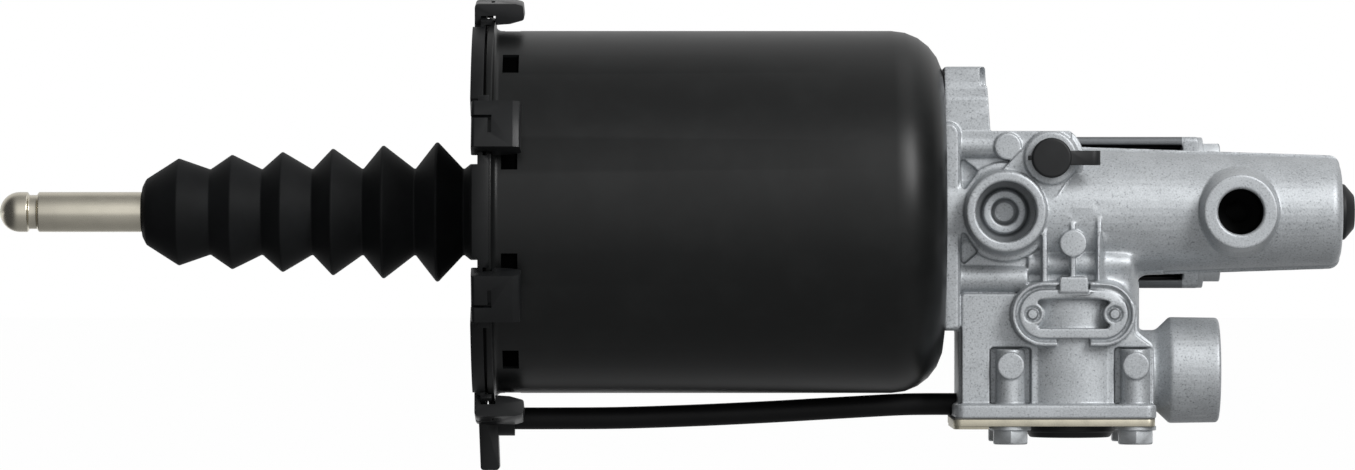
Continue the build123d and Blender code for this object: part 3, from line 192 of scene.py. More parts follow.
class Bench:
    """The moves of modelling by hand that every piece is made with."""

    @staticmethod
    def clear() -> None:
        """Leave edit mode and deselect all objects."""
        if bpy.context.object and bpy.context.object.mode != "OBJECT":
            bpy.ops.object.mode_set(mode="OBJECT")
        bpy.ops.object.select_all(action="DESELECT")

    @staticmethod
    def pick(obj: bpy.types.Object) -> None:
        """Select one object alone and make it the active one.

        Args:
            obj: The object that the next operators act on.
        """
        Bench.clear()
        obj.select_set(True)
        bpy.context.view_layer.objects.active = obj

    @staticmethod
    def open_mesh(obj: bpy.types.Object) -> None:
        """Enter edit mode on one object, with all of its mesh selected.

        Args:
            obj: The object whose mesh is shaped next.
        """
        Bench.pick(obj)
        bpy.ops.object.mode_set(mode="EDIT")
        bpy.ops.mesh.select_all(action="SELECT")

    @staticmethod
    def name(title: str) -> bpy.types.Object:
        """Name the active object and its mesh.

        Args:
            title: The name of both.

        Returns:
            The active object.
        """
        obj = bpy.context.object
        obj.name = title
        obj.data.name = title
        return obj

    @staticmethod
    def settle(obj: bpy.types.Object) -> bpy.types.Object:
        """Move an object's place, turn and scale into its mesh.

        Args:
            obj: The object, which then sits at the origin.

        Returns:
            The same object.
        """
        Bench.pick(obj)
        bpy.ops.object.transform_apply(location=True, rotation=True, scale=True)
        return obj

    @staticmethod
    def modify(obj: bpy.types.Object, kind: str, **settings: object) -> None:
        """Add a modifier with its settings and apply it.

        Args:
            obj: The object that is changed.
            kind: Blender's name of the modifier type.
            settings: Values of the modifier's own settings.
        """
        Bench.pick(obj)
        modifier = obj.modifiers.new(kind.title(), kind)
        for key, value in settings.items():
            setattr(modifier, key, value)
        bpy.ops.object.modifier_apply(modifier=modifier.name)

    @staticmethod
    def tidy_normals(obj: bpy.types.Object, merge: float = 1e-6) -> None:
        """Merge doubled corners and point the faces outwards.

        Args:
            obj: The object that is tidied.
            merge: Distance within which corners are merged, in metres.
        """
        Bench.open_mesh(obj)
        bpy.ops.mesh.remove_doubles(threshold=merge)
        bpy.ops.mesh.normals_make_consistent(inside=False)
        bpy.ops.object.mode_set(mode="OBJECT")

    @staticmethod
    def smooth(obj: bpy.types.Object, angle: float = 32.0) -> None:
        """Shade smooth wherever two faces meet at less than an angle.

        Args:
            obj: The object that is shaded.
            angle: The angle, in degrees.
        """
        Bench.pick(obj)
        bpy.ops.object.shade_smooth_by_angle(angle=math.radians(angle))

    @staticmethod
    def circle(
        title: str, corners: int, radius: float, spot: Sequence[float], turn: Corner
    ) -> bpy.types.Object:
        """Add an open ring that a piece is drawn out of.

        Args:
            title: Name of the piece.
            corners: Number of the ring's corners.
            radius: Its radius, in millimetres.
            spot: Its middle in the frame, in metres.
            turn: Euler angles that turn it out of the level.

        Returns:
            The ring.
        """
        Bench.clear()
        bpy.ops.mesh.primitive_circle_add(
            vertices=corners, radius=radius * MM, fill_type="NOTHING", location=spot, rotation=turn
        )
        return Bench.settle(Bench.name(title))

    @staticmethod
    def lathe(
        title: str,
        profile: Sequence[Pair],
        along: Along = Along.X,
        centre: Corner = (0.0, 0.0, 0.0),
        segments: int = 96,
        hollow: bool = False,
    ) -> bpy.types.Object:
        """Turn a profile: a circle is drawn out ring by ring and closed at both ends.

        Args:
            title: Name of the piece.
            profile: (place along the axis, radius) of each ring, in millimetres.
            along: The axis that the piece is turned about.
            centre: A point on that axis; its coordinate along the axis isn't used.
            segments: Corners of each ring.
            hollow: True if the last ring joins the first, as on a ring-shaped piece.

        Returns:
            The finished object.
        """
        rings = [*profile, profile[0]] if hollow else list(profile)
        start, radius = rings[0]
        obj = Bench.circle(title, segments, radius, along.spot(centre, start), along.turn)
        Bench.open_mesh(obj)
        if not hollow:
            bpy.ops.mesh.edge_face_add()
        for before, after in zip(rings, rings[1:]):
            step = along.vector * (after[0] - before[0]) * MM
            bpy.ops.mesh.extrude_edges_move(TRANSFORM_OT_translate={"value": step})
            growth = after[1] / before[1]
            bpy.ops.transform.resize(value=(growth,) * 3, center_override=along.spot(centre, after[0]))
        if not hollow:
            bpy.ops.mesh.edge_face_add()
        Bench.tidy_normals(obj)
        Bench.smooth(obj)
        return obj

    @staticmethod
    def block(title: str, centre: Vector, size: Corner, turn: Corner = (0, 0, 0)) -> bpy.types.Object:
        """Add a box, used to cut a piece.

        Args:
            title: Name of the box.
            centre: Its middle in the frame, in metres.
            size: Its lengths along X, Y and Z, in millimetres.
            turn: Euler angles that it is turned by.

        Returns:
            The box.
        """
        Bench.clear()
        bpy.ops.mesh.primitive_cube_add(size=MM, location=centre, rotation=turn)
        obj = Bench.name(title)
        obj.scale = size
        return Bench.settle(obj)

    @staticmethod
    def carve(obj: bpy.types.Object, tool: bpy.types.Object, operation: str = "DIFFERENCE") -> None:
        """Cut or intersect with a second solid, which is used up.

        Args:
            obj: The object that is cut.
            tool: The second solid.
            operation: Blender's name of the Boolean operation.
        """
        Bench.modify(obj, "BOOLEAN", object=tool, operation=operation, solver="EXACT")
        bpy.data.objects.remove(tool, do_unlink=True)

    @staticmethod
    def join(title: str, parts: Sequence[bpy.types.Object]) -> bpy.types.Object:
        """Make one object of several.

        Args:
            title: Name of the joined piece.
            parts: The objects, of which the first stays.

        Returns:
            The joined object.
        """
        Bench.clear()
        for part in parts:
            part.select_set(True)
        bpy.context.view_layer.objects.active = parts[0]
        bpy.ops.object.join()
        return Bench.name(title)

    @staticmethod
    def copy_at(source: bpy.types.Object, matrix: Matrix) -> bpy.types.Object:
        """Copy an object with a mesh of its own and move it.

        Args:
            source: The object, which stays as it is.
            matrix: The move, in metres.

        Returns:
            The copy.
        """
        Bench.pick(source)
        bpy.ops.object.duplicate(linked=False)
        twin = bpy.context.object
        twin.matrix_world = matrix @ source.matrix_world
        return Bench.settle(twin)

    @staticmethod
    def copy_solid(source: bpy.types.Object, title: str) -> bpy.types.Object:
        """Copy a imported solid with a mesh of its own, its doubled corners merged.

        Args:
            source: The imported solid, which stays as it is.
            title: Name of the copy.

        Returns:
            The copy.
        """
        piece = bpy.data.objects.new(title, source.data.copy())
        bpy.context.scene.collection.objects.link(piece)
        piece.matrix_world = source.matrix_world
        Bench.settle(piece)
        Bench.tidy_normals(piece, 2e-6)
        return piece

    @staticmethod
    def hexagon(
        title: str, flats: float, height: float, along: Along, centre: Corner, seat: float, side: int
    ) -> bpy.types.Object:
        """Hexagon head whose far end is chamfered by a cone.

        Args:
            title: Name of the piece.
            flats: Width across the flats, in millimetres.
            height: Height of the head.
            along: The axis of the bolt.
            centre: A point on that axis.
            seat: Lower end of the head along the axis.
            side: 1 if the chamfered end is the upper one, -1 if it is the lower one.

        Returns:
            The finished head.
        """
        corner_radius = flats / math.sqrt(3)
        chamfer, full, tip = 0.62, corner_radius + 0.2, flats / 2 - 0.25
        low, high = seat, seat + height
        cone = [(low, full), (high - chamfer, full), (high, tip)]
        if side < 0:
            cone = [(low, tip), (low + chamfer, full), (high, full)]
        body = Bench.lathe(title, cone, along, centre, segments=72)
        Bench.clear()
        bpy.ops.mesh.primitive_cylinder_add(
            vertices=6,
            radius=corner_radius * MM,
            depth=(height + 2) * MM,
            location=along.spot(centre, low + height / 2),
            rotation=along.turn,
        )
        Bench.carve(body, Bench.settle(Bench.name("hexagon_cutter")), "INTERSECT")
        Bench.bevel(body, 0.12, 1, 25.0)
        return body

    @staticmethod
    def bevel(obj: bpy.types.Object, width: float, segments: int, angle: float) -> None:
        """Round the sharp edges.

        Args:
            obj: The object that is rounded.
            width: Width of the rounding, in millimetres.
            segments: Number of faces across it.
            angle: Edges that turn by more than this are rounded, in degrees.
        """
        Bench.modify(
            obj,
            "BEVEL",
            width=width * MM,
            segments=segments,
            limit_method="ANGLE",
            angle_limit=math.radians(angle),
            use_clamp_overlap=True,
        )
        Bench.smooth(obj)


class Wire:
    """A shader socket that Python's arithmetic works on."""

    def __init__(self, sheet: "NodeSheet", socket: bpy.types.NodeSocket) -> None:
        """Keep the socket and the sheet that it is drawn on."""
        self.sheet = sheet
        self.socket = socket

    def _math(self, operation: str, *values: "Wire | float") -> "Wire":
        """Add one Math node."""
        return self.sheet.node("ShaderNodeMath", {"operation": operation}, dict(enumerate(values)))

    def __add__(self, other: "Wire | float") -> "Wire":
        """Sum."""
        return self._math("ADD", self, other)

    def __mul__(self, other: "Wire | float") -> "Wire":
        """Product."""
        return self._math("MULTIPLY", self, other)

    def __sub__(self, other: "Wire | float") -> "Wire":
        """Difference."""
        return self._math("SUBTRACT", self, other)

    def __rsub__(self, other: "Wire | float") -> "Wire":
        """Difference from a number."""
        return self._math("SUBTRACT", other, self)

    def spread(self, low: float, high: float) -> "Wire":
        """0 at low and below, 1 at high and above, smooth between them."""
        return self.sheet.node(
            "ShaderNodeMapRange",
            {"interpolation_type": "SMOOTHSTEP"},
            {"Value": self, "From Min": low, "From Max": high},
        )

    def above(self, edge: float, soft: float) -> "Wire":
        """0 up to the edge, and 1 from a soft width past it."""
        return self.spread(edge, edge + soft)

    def below(self, edge: float, soft: float) -> "Wire":
        """1 up to the edge, and 0 from a soft width past it."""
        return 1.0 - self.spread(edge, edge + soft)


class NodeSheet:
    """Empty node tree to draw shaders on."""

    def __init__(self, tree: bpy.types.NodeTree) -> None:
        """Clear the tree."""
        self.tree = tree
        self.tree.nodes.clear()

    def node(
        self,
        kind: str,
        settings: dict[str, object] | None = None,
        sockets: dict[str | int, object] | None = None,
        output: str | int = 0,
    ) -> Wire:
        """Add a node.

        Args:
            kind: Blender's name of the node type.
            settings: The node's own settings, which are set first.
            sockets: Values of its inputs, or wires that lead to them.
            output: The output that is handed back.

        Returns:
            A wire from that output.
        """
        made = self.tree.nodes.new(kind)
        for key, value in (settings or {}).items():
            if key == "stops":
                for stop, (position, colour) in zip(self._stops(made, len(value)), value):
                    stop.position = position
                    stop.color = (*colour, 1.0)
            else:
                setattr(made, key, value)
        for key, value in (sockets or {}).items():
            self._feed(made.inputs[key], value)
        return Wire(self, made.outputs[output])

    @staticmethod
    def _stops(ramp: bpy.types.Node, count: int) -> list[bpy.types.ColorRampElement]:
        """Give a colour ramp as many stops as are asked for.

        Args:
            ramp: The ramp's node.
            count: Number of stops.

        Returns:
            The stops in order.
        """
        elements = ramp.color_ramp.elements
        while len(elements) < count:
            elements.new(1.0)
        return list(elements)

    def _feed(self, socket: bpy.types.NodeSocket, value: object) -> None:
        """Link a wire to a socket, or set its value.

        Args:
            socket: The input that is fed.
            value: A wire, a number, a vector or a colour.
        """
        if isinstance(value, Wire):
            self.tree.links.new(value.socket, socket)
        elif isinstance(value, tuple) and len(value) == 3 and socket.type == "RGBA":
            socket.default_value = (*value, 1.0)
        else:
            socket.default_value = value

    def rays_seen(self) -> Wire:
        """Tell what is looked at from what only gives light.

        Returns:
            1 for rays from the camera, from gloss and through glass, 0 for all others.
        """
        seen = self.node("ShaderNodeLightPath", output="Is Camera Ray")
        for kind in ("Is Glossy Ray", "Is Transmission Ray"):
            other = self.node("ShaderNodeLightPath", output=kind)
            seen = self.node("ShaderNodeMath", {"operation": "MAXIMUM"}, {0: seen, 1: other})
        return seen

    def position(self) -> Wire:
        """Object coordinates, in metres about the frame's origin."""
        return self.node("ShaderNodeTexCoord", output="Object")

    def along(self, axis: str) -> Wire:
        """One coordinate, in millimetres about the push-rod axis."""
        metres = self.node("ShaderNodeSeparateXYZ", sockets={0: self.position()}, output=axis)
        return metres * (1 / MM) - (AXIS_Y if axis == "Y" else 0.0)

    def noise(self, size: float, detail: float, roughness: float, stretch: Corner = (1.0, 1.0, 1.0)) -> Wire:
        """Noise from 0 to 1.

        Args:
            size: Width of a lump, in millimetres.
            detail: Number of finer layers.
            roughness: Weight of the finer layers.
            stretch: Scale along X, Y and Z, to draw the lumps out.

        Returns:
            The noise as a wire.
        """
        spot = self.node("ShaderNodeMapping", sockets={"Vector": self.position(), "Scale": stretch})
        return self.node(
            "ShaderNodeTexNoise",
            sockets={"Vector": spot, "Scale": 1.0 / (size * MM), "Detail": detail, "Roughness": roughness},
        )

    def tint(self, mask: Wire, low: Colour | Wire, high: Colour | Wire) -> Wire:
        """Colour that goes from one to another.

        Args:
            mask: 0 for the first colour, 1 for the second.
            low: The first colour.
            high: The second colour.

        Returns:
            The mixed colour.
        """
        mixer = self.tree.nodes.new("ShaderNodeMix")
        mixer.data_type = "RGBA"
        self._feed(mixer.inputs[0], mask)
        self._feed(mixer.inputs[6], low)
        self._feed(mixer.inputs[7], high)
        return Wire(self, mixer.outputs[2])

    def blend(self, share: Wire, first: Wire, second: Wire) -> Wire:
        """Two shaders in one, with the second one's share from 0 to 1."""
        return self.node("ShaderNodeMixShader", sockets={0: share, 1: first, 2: second})

    def relief(self, height: Wire, depth: float, strength: float) -> Wire:
        """Bump of a depth in millimetres for the shader's normal."""
        return self.node(
            "ShaderNodeBump", sockets={"Height": height, "Distance": depth * MM, "Strength": strength}
        )

    def edges(self) -> Wire:
        """0 in hollows and 1 on ridges of a dense mesh, about 0.5 on flat places."""
        return self.node("ShaderNodeNewGeometry", output="Pointiness")


class MaterialSheet(NodeSheet):
    """Node tree of one material, with a principled shader ready."""

    def __init__(self, title: str) -> None:
        """Start a material.

        Args:
            title: Name of the material.
        """
        self.material = bpy.data.materials.new(title)
        self.material.use_nodes = True
        super().__init__(self.material.node_tree)
        self.shader = self.tree.nodes.new("ShaderNodeBsdfPrincipled")
        self.output = self.tree.nodes.new("ShaderNodeOutputMaterial")
        self.show(Wire(self, self.shader.outputs[0]))

    def show(self, shader: Wire) -> None:
        """Link a shader to the material's surface."""
        self.tree.links.new(shader.socket, self.output.inputs["Surface"])

    def set(self, **inputs: object) -> None:
        """Set or link inputs of the shader; an underscore in a name stands for a space."""
        for key, value in inputs.items():
            self._feed(self.shader.inputs[key.replace("_", " ")], value)


@dataclass(frozen=True)
class CastAluminium:
    """Blasted die-cast aluminium: grainy, with painted shade in its hollows and recesses, painted highlights
    on its ridges, and black where no light gets in.
    """

    title: str = "cast_aluminium"
    light: Colour = (0.53, 0.553, 0.572)
    dark: Colour = (0.385, 0.403, 0.42)
    speck: Colour = (0.20, 0.212, 0.222)
    # Colour of the painted shade in hollows, creases and recesses.
    hollow: Colour = (0.12, 0.127, 0.134)
    # Colour of the painted highlight on ridges and convex edges.
    ridge_highlight: Colour = (0.64, 0.66, 0.67)
    unlit: Colour = (0.004, 0.004, 0.0045)
    grain: float = 0.55
    relief: float = 0.06
    port_x: float = 87.6
    port_radius: float = 6.9
    port_mouth_y: float = -23.9
    port_end_y: float = 9.8
    seat_x: float = 17.9
    seat_floor_y: float = -14.6
    seat_end_y: float = -5.0
    seat_floor: Pair = (6.4, 9.7)
    seat_ring: Pair = (2.7, 4.0)
    pin_span: float = 12.2
    pin_z: float = -30.4
    pin_end_y: float = -21.0
    pin_ring: Pair = (1.15, 1.6)
    channel_front_y: float = 47.5
    channel_floor_y: float = 72.2
    channel_end_x: float = 75.2
    channel_half: float = 20.8
    shades: tuple[float, float, float] = (0.75, 0.85, 0.8)

    def make(self) -> bpy.types.Material:
        """Build the material.

        Returns:
            The material.
        """
        sheet = MaterialSheet(self.title)
        grain = sheet.noise(self.grain, 4.0, 0.7)
        clouds = sheet.noise(9.0, 3.0, 0.5)
        body = sheet.tint((grain * 0.75 + clouds * 0.25).spread(0.36, 0.62), self.dark, self.light)
        specks = sheet.noise(self.grain, 1.0, 0.4)
        body = sheet.tint((1.0 - specks.spread(0.27, 0.36)) * 0.6, body, self.speck)
        # Painted shade: concave places, where pointiness is low, are darkened toward the hollow colour.
        crease_shaded = sheet.tint(sheet.edges().spread(0.38, 0.485), self.hollow, body)
        # Painted highlight: convex edges, where pointiness is high, are lightened toward the ridge colour.
        edge_highlighted = sheet.tint(sheet.edges().spread(0.53, 0.62) * 0.6, crease_shaded, self.ridge_highlight)
        seat, arm, pins = self.shades
        # Painted shade in the hollow colour: in the recesses of the stepped port, on the arm's front edges
        # and in the pins' rings.
        dark = self._seat(sheet) * seat + self._arm(sheet) * arm + self._pins(sheet) * pins
        shaded = sheet.tint(dark, edge_highlighted, self.hollow)
        sheet.set(
            Base_Color=sheet.tint(self._unlit(sheet), shaded, self.unlit),
            Metallic=0.55,
            Roughness=grain.spread(0.2, 0.8) * 0.16 + 0.42,
            Normal=sheet.relief(grain, self.relief, 0.55),
        )
        return sheet.material

    @staticmethod
    def _round(sheet: MaterialSheet, radius: float, x: float, z: float = 0.0) -> Wire:
        """Mask of a round place seen from the front.

        Args:
            sheet: The material's sheet.
            radius: Radius of the place.
            x: Its middle along X.
            z: Its middle along Z, which is the push rod's height if nothing else is said.

        Returns:
            1 inside the radius and 0 outside it, at any depth.
        """
        across = sheet.along("X") - x
        high = sheet.along("Z") - z
        return 1.0 - (across * across + high * high).spread(radius**2, (radius + 0.12) ** 2)

    def _ring(self, sheet: MaterialSheet, radii: Pair, x: float, z: float = 0.0) -> Wire:
        """1 between the two radii of a ring seen from the front, 0 elsewhere."""
        return self._round(sheet, radii[1], x, z) * (1.0 - self._round(sheet, radii[0], x, z))

    def _seat(self, sheet: MaterialSheet) -> Wire:
        """Mask of the painted shade on the recessed floor round the plateau in the stepped port, and on a
        ring on the plateau.

        Args:
            sheet: The material's sheet.

        Returns:
            1 on the rough ring and a little less on the other.
        """
        depth = sheet.along("Y")
        floor = self._ring(sheet, self.seat_floor, self.seat_x) * depth.above(self.seat_floor_y - 0.6, 0.4)
        ring = self._ring(sheet, self.seat_ring, self.seat_x) * 0.8
        return (floor + ring) * depth.below(self.seat_end_y, 1.0)

    def _pins(self, sheet: MaterialSheet) -> Wire:
        """Mask of the painted shade in the recessed ring in the face of each pin of the stadium-shaped pad.

        Args:
            sheet: The material's sheet.

        Returns:
            1 on the two rings.
        """
        left = self._ring(sheet, self.pin_ring, VALVE_X - self.pin_span, self.pin_z)
        right = self._ring(sheet, self.pin_ring, VALVE_X + self.pin_span, self.pin_z)
        return (left + right) * sheet.along("Y").below(self.pin_end_y, 1.0)

    def _arm(self, sheet: MaterialSheet) -> Wire:
        """Mask of the arm's front edges, which lie in the shade of the barrel.

        Args:
            sheet: The material's sheet.

        Returns:
            1 on the edges.
        """
        depth = sheet.along("Y")
        edge = depth.above(self.channel_front_y - 12, 8) * depth.below(self.channel_front_y + 4, 4)
        return edge * sheet.along("X").below(self.channel_end_x - 0.3, 0.3)

    def _unlit(self, sheet: MaterialSheet) -> Wire:
        """Mask of the bore of the hydraulic port and of the arm's channel, which get no light.

        Args:
            sheet: The material's sheet.

        Returns:
            1 inside both.
        """
        depth = sheet.along("Y")
        bore = self._round(sheet, self.port_radius, self.port_x)
        bore = bore * depth.above(self.port_mouth_y, 0.6) * depth.below(self.port_end_y, 0.4)
        channel = depth.above(self.channel_front_y, 0.5) * depth.below(self.channel_floor_y, 0.4)
        height = sheet.along("Z")
        low = 1.0 - (height * height).spread((self.channel_half - 0.2) ** 2, self.channel_half**2)
        return bore + channel * low * sheet.along("X").below(self.channel_end_x - 0.3, 0.3)


@dataclass(frozen=True)
class Painted:
    """Black coating on sheet metal, with a slight orange peel."""

    title: str
    colour: Colour
    roughness: float = 0.36
    peel: float = 0.012
    specular: float = 0.27

    def make(self) -> bpy.types.Material:
        """Build the material.

        Returns:
            The material.
        """
        sheet = MaterialSheet(self.title)
        peel = sheet.noise(1.3, 2.0, 0.5)
        dust = sheet.noise(14.0, 4.0, 0.6)
        body = sheet.tint(dust.spread(0.4, 0.75), self.colour, tuple(c * 1.45 for c in self.colour))
        sheet.set(
            Base_Color=body,
            Roughness=dust * 0.08 + (self.roughness - 0.03),
            Normal=sheet.relief(peel, self.peel, 0.5),
            Specular_IOR_Level=self.specular,
        )
        return sheet.material


@dataclass(frozen=True)
class Moulded:
    """Moulded plastic or rubber, with a fine grain and a faint bloom.

    Where two places along X and a height are given for the can's slots, what lies between and above them is
    painted black as shade.
    """

    title: str
    colour: Colour
    roughness: float
    grain: float = 0.5
    relief: float = 0.015
    specular: float = 0.35
    bloom: float = 1.5
    slot_shade: tuple[float, float, float] | None = None

    def make(self) -> bpy.types.Material:
        """Build the material.

        Returns:
            The material.
        """
        sheet = MaterialSheet(self.title)
        grain = sheet.noise(self.grain, 3.0, 0.6)
        bloom = sheet.noise(11.0, 3.0, 0.55)
        body = sheet.tint(bloom.spread(0.35, 0.75), self.colour, tuple(c * self.bloom for c in self.colour))
        sheet.set(
            Base_Color=body,
            Roughness=grain * 0.1 + (self.roughness - 0.05),
            Normal=sheet.relief(grain, self.relief, 0.5),
            Specular_IOR_Level=self.specular,
        )
        if self.slot_shade:
            self._shade_slots(sheet)
        return sheet.material

    def _shade_slots(self, sheet: MaterialSheet) -> None:
        """Paint the snap lugs black, as painted shade, where they lie in the can's slots.

        Args:
            sheet: The material's sheet, with its shader set.
        """
        start, end, lowest = self.slot_shade
        lengthwise = sheet.along("X")
        inside = lengthwise.above(start - 0.1, 0.1) * lengthwise.below(end, 0.1)
        above = sheet.along("Z").above(lowest - 0.5, 0.5)
        # Painted shade: a black diffuse shader is mixed over the lugs in the slots.
        black = sheet.node("ShaderNodeBsdfDiffuse", sockets={"Color": (0.001, 0.001, 0.001)})
        sheet.show(sheet.blend(inside * above, Wire(sheet, sheet.shader.outputs[0]), black))


@dataclass(frozen=True)
class Plated:
    """Plated or bright steel, with a fine brushed or mottled skin."""

    title: str
    colour: Colour
    roughness: float
    metallic: float = 1.0
    brush: Corner = (1.0, 1.0, 1.0)
    mottle: float = 0.12

    def make(self) -> bpy.types.Material:
        """Build the material.

        Returns:
            The material.
        """
        sheet = MaterialSheet(self.title)
        brush = sheet.noise(0.4, 3.0, 0.6, self.brush)
        patches = sheet.noise(5.0, 3.0, 0.5)
        dull = tuple(c * (1 - self.mottle * 2) for c in self.colour)
        body = sheet.tint((patches * 0.6 + brush * 0.4).spread(0.3, 0.65), dull, self.colour)
        sheet.set(
            Base_Color=body,
            Metallic=self.metallic,
            Roughness=brush * 0.14 + (self.roughness - 0.07),
            Normal=sheet.relief(brush, 0.006, 0.35),
        )
        return sheet.material


# Span along X and lowest height of the painted shade over the cover's snap lugs in the can's slots.
SLOT_SHADE_SPAN = (-131.6, -126.4, -57.0)
FINISHES = (
    CastAluminium(),
    Painted("can_paint", (0.0058, 0.0062, 0.0062)),
    Painted("clip_steel", (0.008, 0.0085, 0.009), peel=0.006, specular=0.3),
    Moulded(
        "cover_plastic",
        (0.006, 0.0064, 0.0068),
        0.45,
        grain=0.4,
        relief=0.01,
        specular=0.25,
        slot_shade=SLOT_SHADE_SPAN,
    ),
    Moulded("bellows_rubber", (0.0052, 0.0056, 0.0060), 0.62, grain=0.35, relief=0.02, specular=0.14),
    Moulded("hose_rubber", (0.0062, 0.0062, 0.0066), 0.5, grain=0.3, relief=0.01, specular=0.16, bloom=1.2),
    Moulded("plug_rubber", (0.0115, 0.0121, 0.0128), 0.5, grain=0.3, relief=0.01, specular=0.3),
    Moulded("seal_rubber", (0.01, 0.01, 0.01), 0.5),
    Moulded("guide_plastic", (0.30, 0.26, 0.2), 0.5, bloom=1.15),
    Moulded("gasket_fibre", (0.10, 0.10, 0.095), 0.8, grain=0.3, relief=0.03, specular=0.3, bloom=1.3),
    Plated("nickel_steel", (0.72, 0.675, 0.565), 0.27, brush=(0.12, 1.0, 1.0), mottle=0.04),
    Plated("zinc_steel", (0.66, 0.685, 0.705), 0.56),
    Plated("yellow_zinc", (0.59, 0.55, 0.44), 0.42, metallic=0.7),
    Plated("piston_aluminium", (0.66, 0.67, 0.68), 0.35),
    Plated("ground_steel", (0.60, 0.60, 0.61), 0.2, brush=(1.0, 0.1, 0.1)),
    Plated("spring_steel", (0.30, 0.30, 0.31), 0.35),
    Plated("brass", (0.68, 0.5, 0.22), 0.3),
)


class Showroom:
    """Everything that the servo's assemblies share: finishes, bodies and the hand-over of pieces."""

    def __init__(self, frame: dict) -> None:
        """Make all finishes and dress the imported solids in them.

        Args:
            frame: What the frame holds, as it was loaded.
        """
        self.frame = frame
        self.finishes = {finish.title: finish.make() for finish in FINISHES}
        self.slots = {row["node"]: row["material_slot"] for row in frame["record"]["subparts"]}
        for node, obj in frame["nodes"].items():
            self.dress(obj, self.slots[node])

    def dress(self, obj: bpy.types.Object, finish: str) -> None:
        """Give an object one finish."""
        obj.data.materials.clear()
        obj.data.materials.append(self.finishes[finish])

    def hand_over(self, obj: bpy.types.Object, node: str, body: str = "housing") -> bpy.types.Object:
        """Dress a piece, let it ride on its body and hide the solid that it stands for.

        Args:
            obj: The finished piece.
            node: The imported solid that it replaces, which gives its slot.
            body: The body that it moves with.

        Returns:
            The same piece.
        """
        slot = self.slots[node]
        self.dress(obj, slot)
        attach(obj, body)
        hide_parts(node)
        log.info("%s: %d faces, rides on %s", obj.name, len(obj.data.polygons), body)
        return obj


@dataclass
class PushRodAssembly:
    """Push rod with its ball tip, and the bellows over it."""

    tip_x: float = -282.9
    radius: float = 6.0
    head: float = 8.4
    groove: float = 3.3
    groove_radius: float = 5.1
    shoulder_x: float = -126.1
    spigot_radius: float = 5.0
    spigot_end_x: float = -90.1
    ball_steps: int = 14
    peaks: tuple[Pair, ...] = (
        (-229.2, 16.1),
        (-213.2, 17.25),
        (-198.1, 18.15),
        (-183.0, 19.2),
        (-167.9, 20.2),
        (-151.7, 21.3),
    )
    valley_radius: float = 12.8
    valley_shift: float = 1.5
    wall: float = 1.5
    nose_x: float = -240.0
    nose_length: float = 4.0
    nose_radius: float = 9.9
    seat: Pair = (-240.3, -235.7)
    collar_x: float = -141.7
    collar_end_x: float = -136.1
    collar_height: float = 1.6
    stroke: float = 60.0

    def build(self, room: Showroom) -> None:
        """Model the rod and the bellows and hand them over.

        Args:
            room: The showroom that takes them.
        """
        room.hand_over(self.rod(), "push_rod", body="rod")
        bellows = room.hand_over(self.bellows(), "bellows")
        anchor = place(self.collar_end_x, 0, 0)
        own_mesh(bellows)

    def rod(self) -> bpy.types.Object:
        """Turn the rod, with a hemispherical tip, a ring groove and the bellows' seat.

        Returns:
            The rod.
        """
        groove_x = self.tip_x + self.head
        turns = [math.pi / 2 * step / self.ball_steps for step in range(1, self.ball_steps + 1)]
        ball_x = self.tip_x + self.radius
        ball = [(ball_x - self.radius * math.cos(turn), self.radius * math.sin(turn)) for turn in turns]
        corners = (
            (self.tip_x, TIP_RADIUS),
            *ball,
            (groove_x, self.radius, 0.5),
            (groove_x + 0.5, self.groove_radius, 0.4),
            (groove_x + self.groove - 0.5, self.groove_radius, 0.4),
            (groove_x + self.groove, self.radius, 0.5),
            (self.seat[0], self.radius, 0.2),
            (self.seat[0] + 0.2, self.groove_radius),
            (self.seat[1], self.groove_radius),
            (self.seat[1], self.radius, 0.2),
            (self.shoulder_x, self.radius),
            (self.shoulder_x, self.spigot_radius),
            (self.spigot_end_x, self.spigot_radius, 0.8),
            (self.spigot_end_x, TIP_RADIUS),
        )
        return Bench.lathe("push_rod_turned", rounded(corners, closed=False), segments=72)

    def _crests(self, offset: float) -> list[Corner]:
        """Crests and valleys of the folds.

        Args:
            offset: How far they are moved outwards.

        Returns:
            (x, radius, rounding) of each.
        """
        line: list[Corner] = []
        for number, (x, radius) in enumerate(self.peaks):
            line.append((x, radius + offset, 0.75))
            if number + 1 < len(self.peaks):
                valley_x = (x + self.peaks[number + 1][0]) / 2 + self.valley_shift
                line.append((valley_x, self.valley_radius + offset, 0.6))
        return line

    def bellows(self) -> bpy.types.Object:
        """Turn the rubber bellows, with a rounded nose, six folds and a collar under the cover.

        Returns:
            The bellows.
        """
        tip = self.nose_x
        last_valley = self.collar_x - 2.0
        inside = self.groove_radius + 0.05
        outer = [(tip, inside), (tip - 0.1, 7.5, 1.2), (tip + 1.1, self.nose_radius, 1.6)]
        outer += self._crests(0.0)
        outer += [
            (last_valley, self.valley_radius, 0.6),
            (self.collar_x, self.valley_radius + self.collar_height, 0.5),
            (self.collar_end_x, self.valley_radius + self.collar_height, 0.6),
        ]
        inner = [
            (self.collar_end_x, self.valley_radius - self.wall),
            (last_valley + 0.4, self.valley_radius - self.wall, 0.4),
        ]
        inner += [(x, radius, 0.4) for x, radius, _ in reversed(self._crests(-self.wall * 1.35))]
        nose_end = tip + self.nose_length
        inner += [(nose_end + 1.0, self.nose_radius - self.wall, 0.5), (nose_end, inside)]
        return Bench.lathe("rubber_bellows", rounded(outer + inner), segments=128, hollow=True)


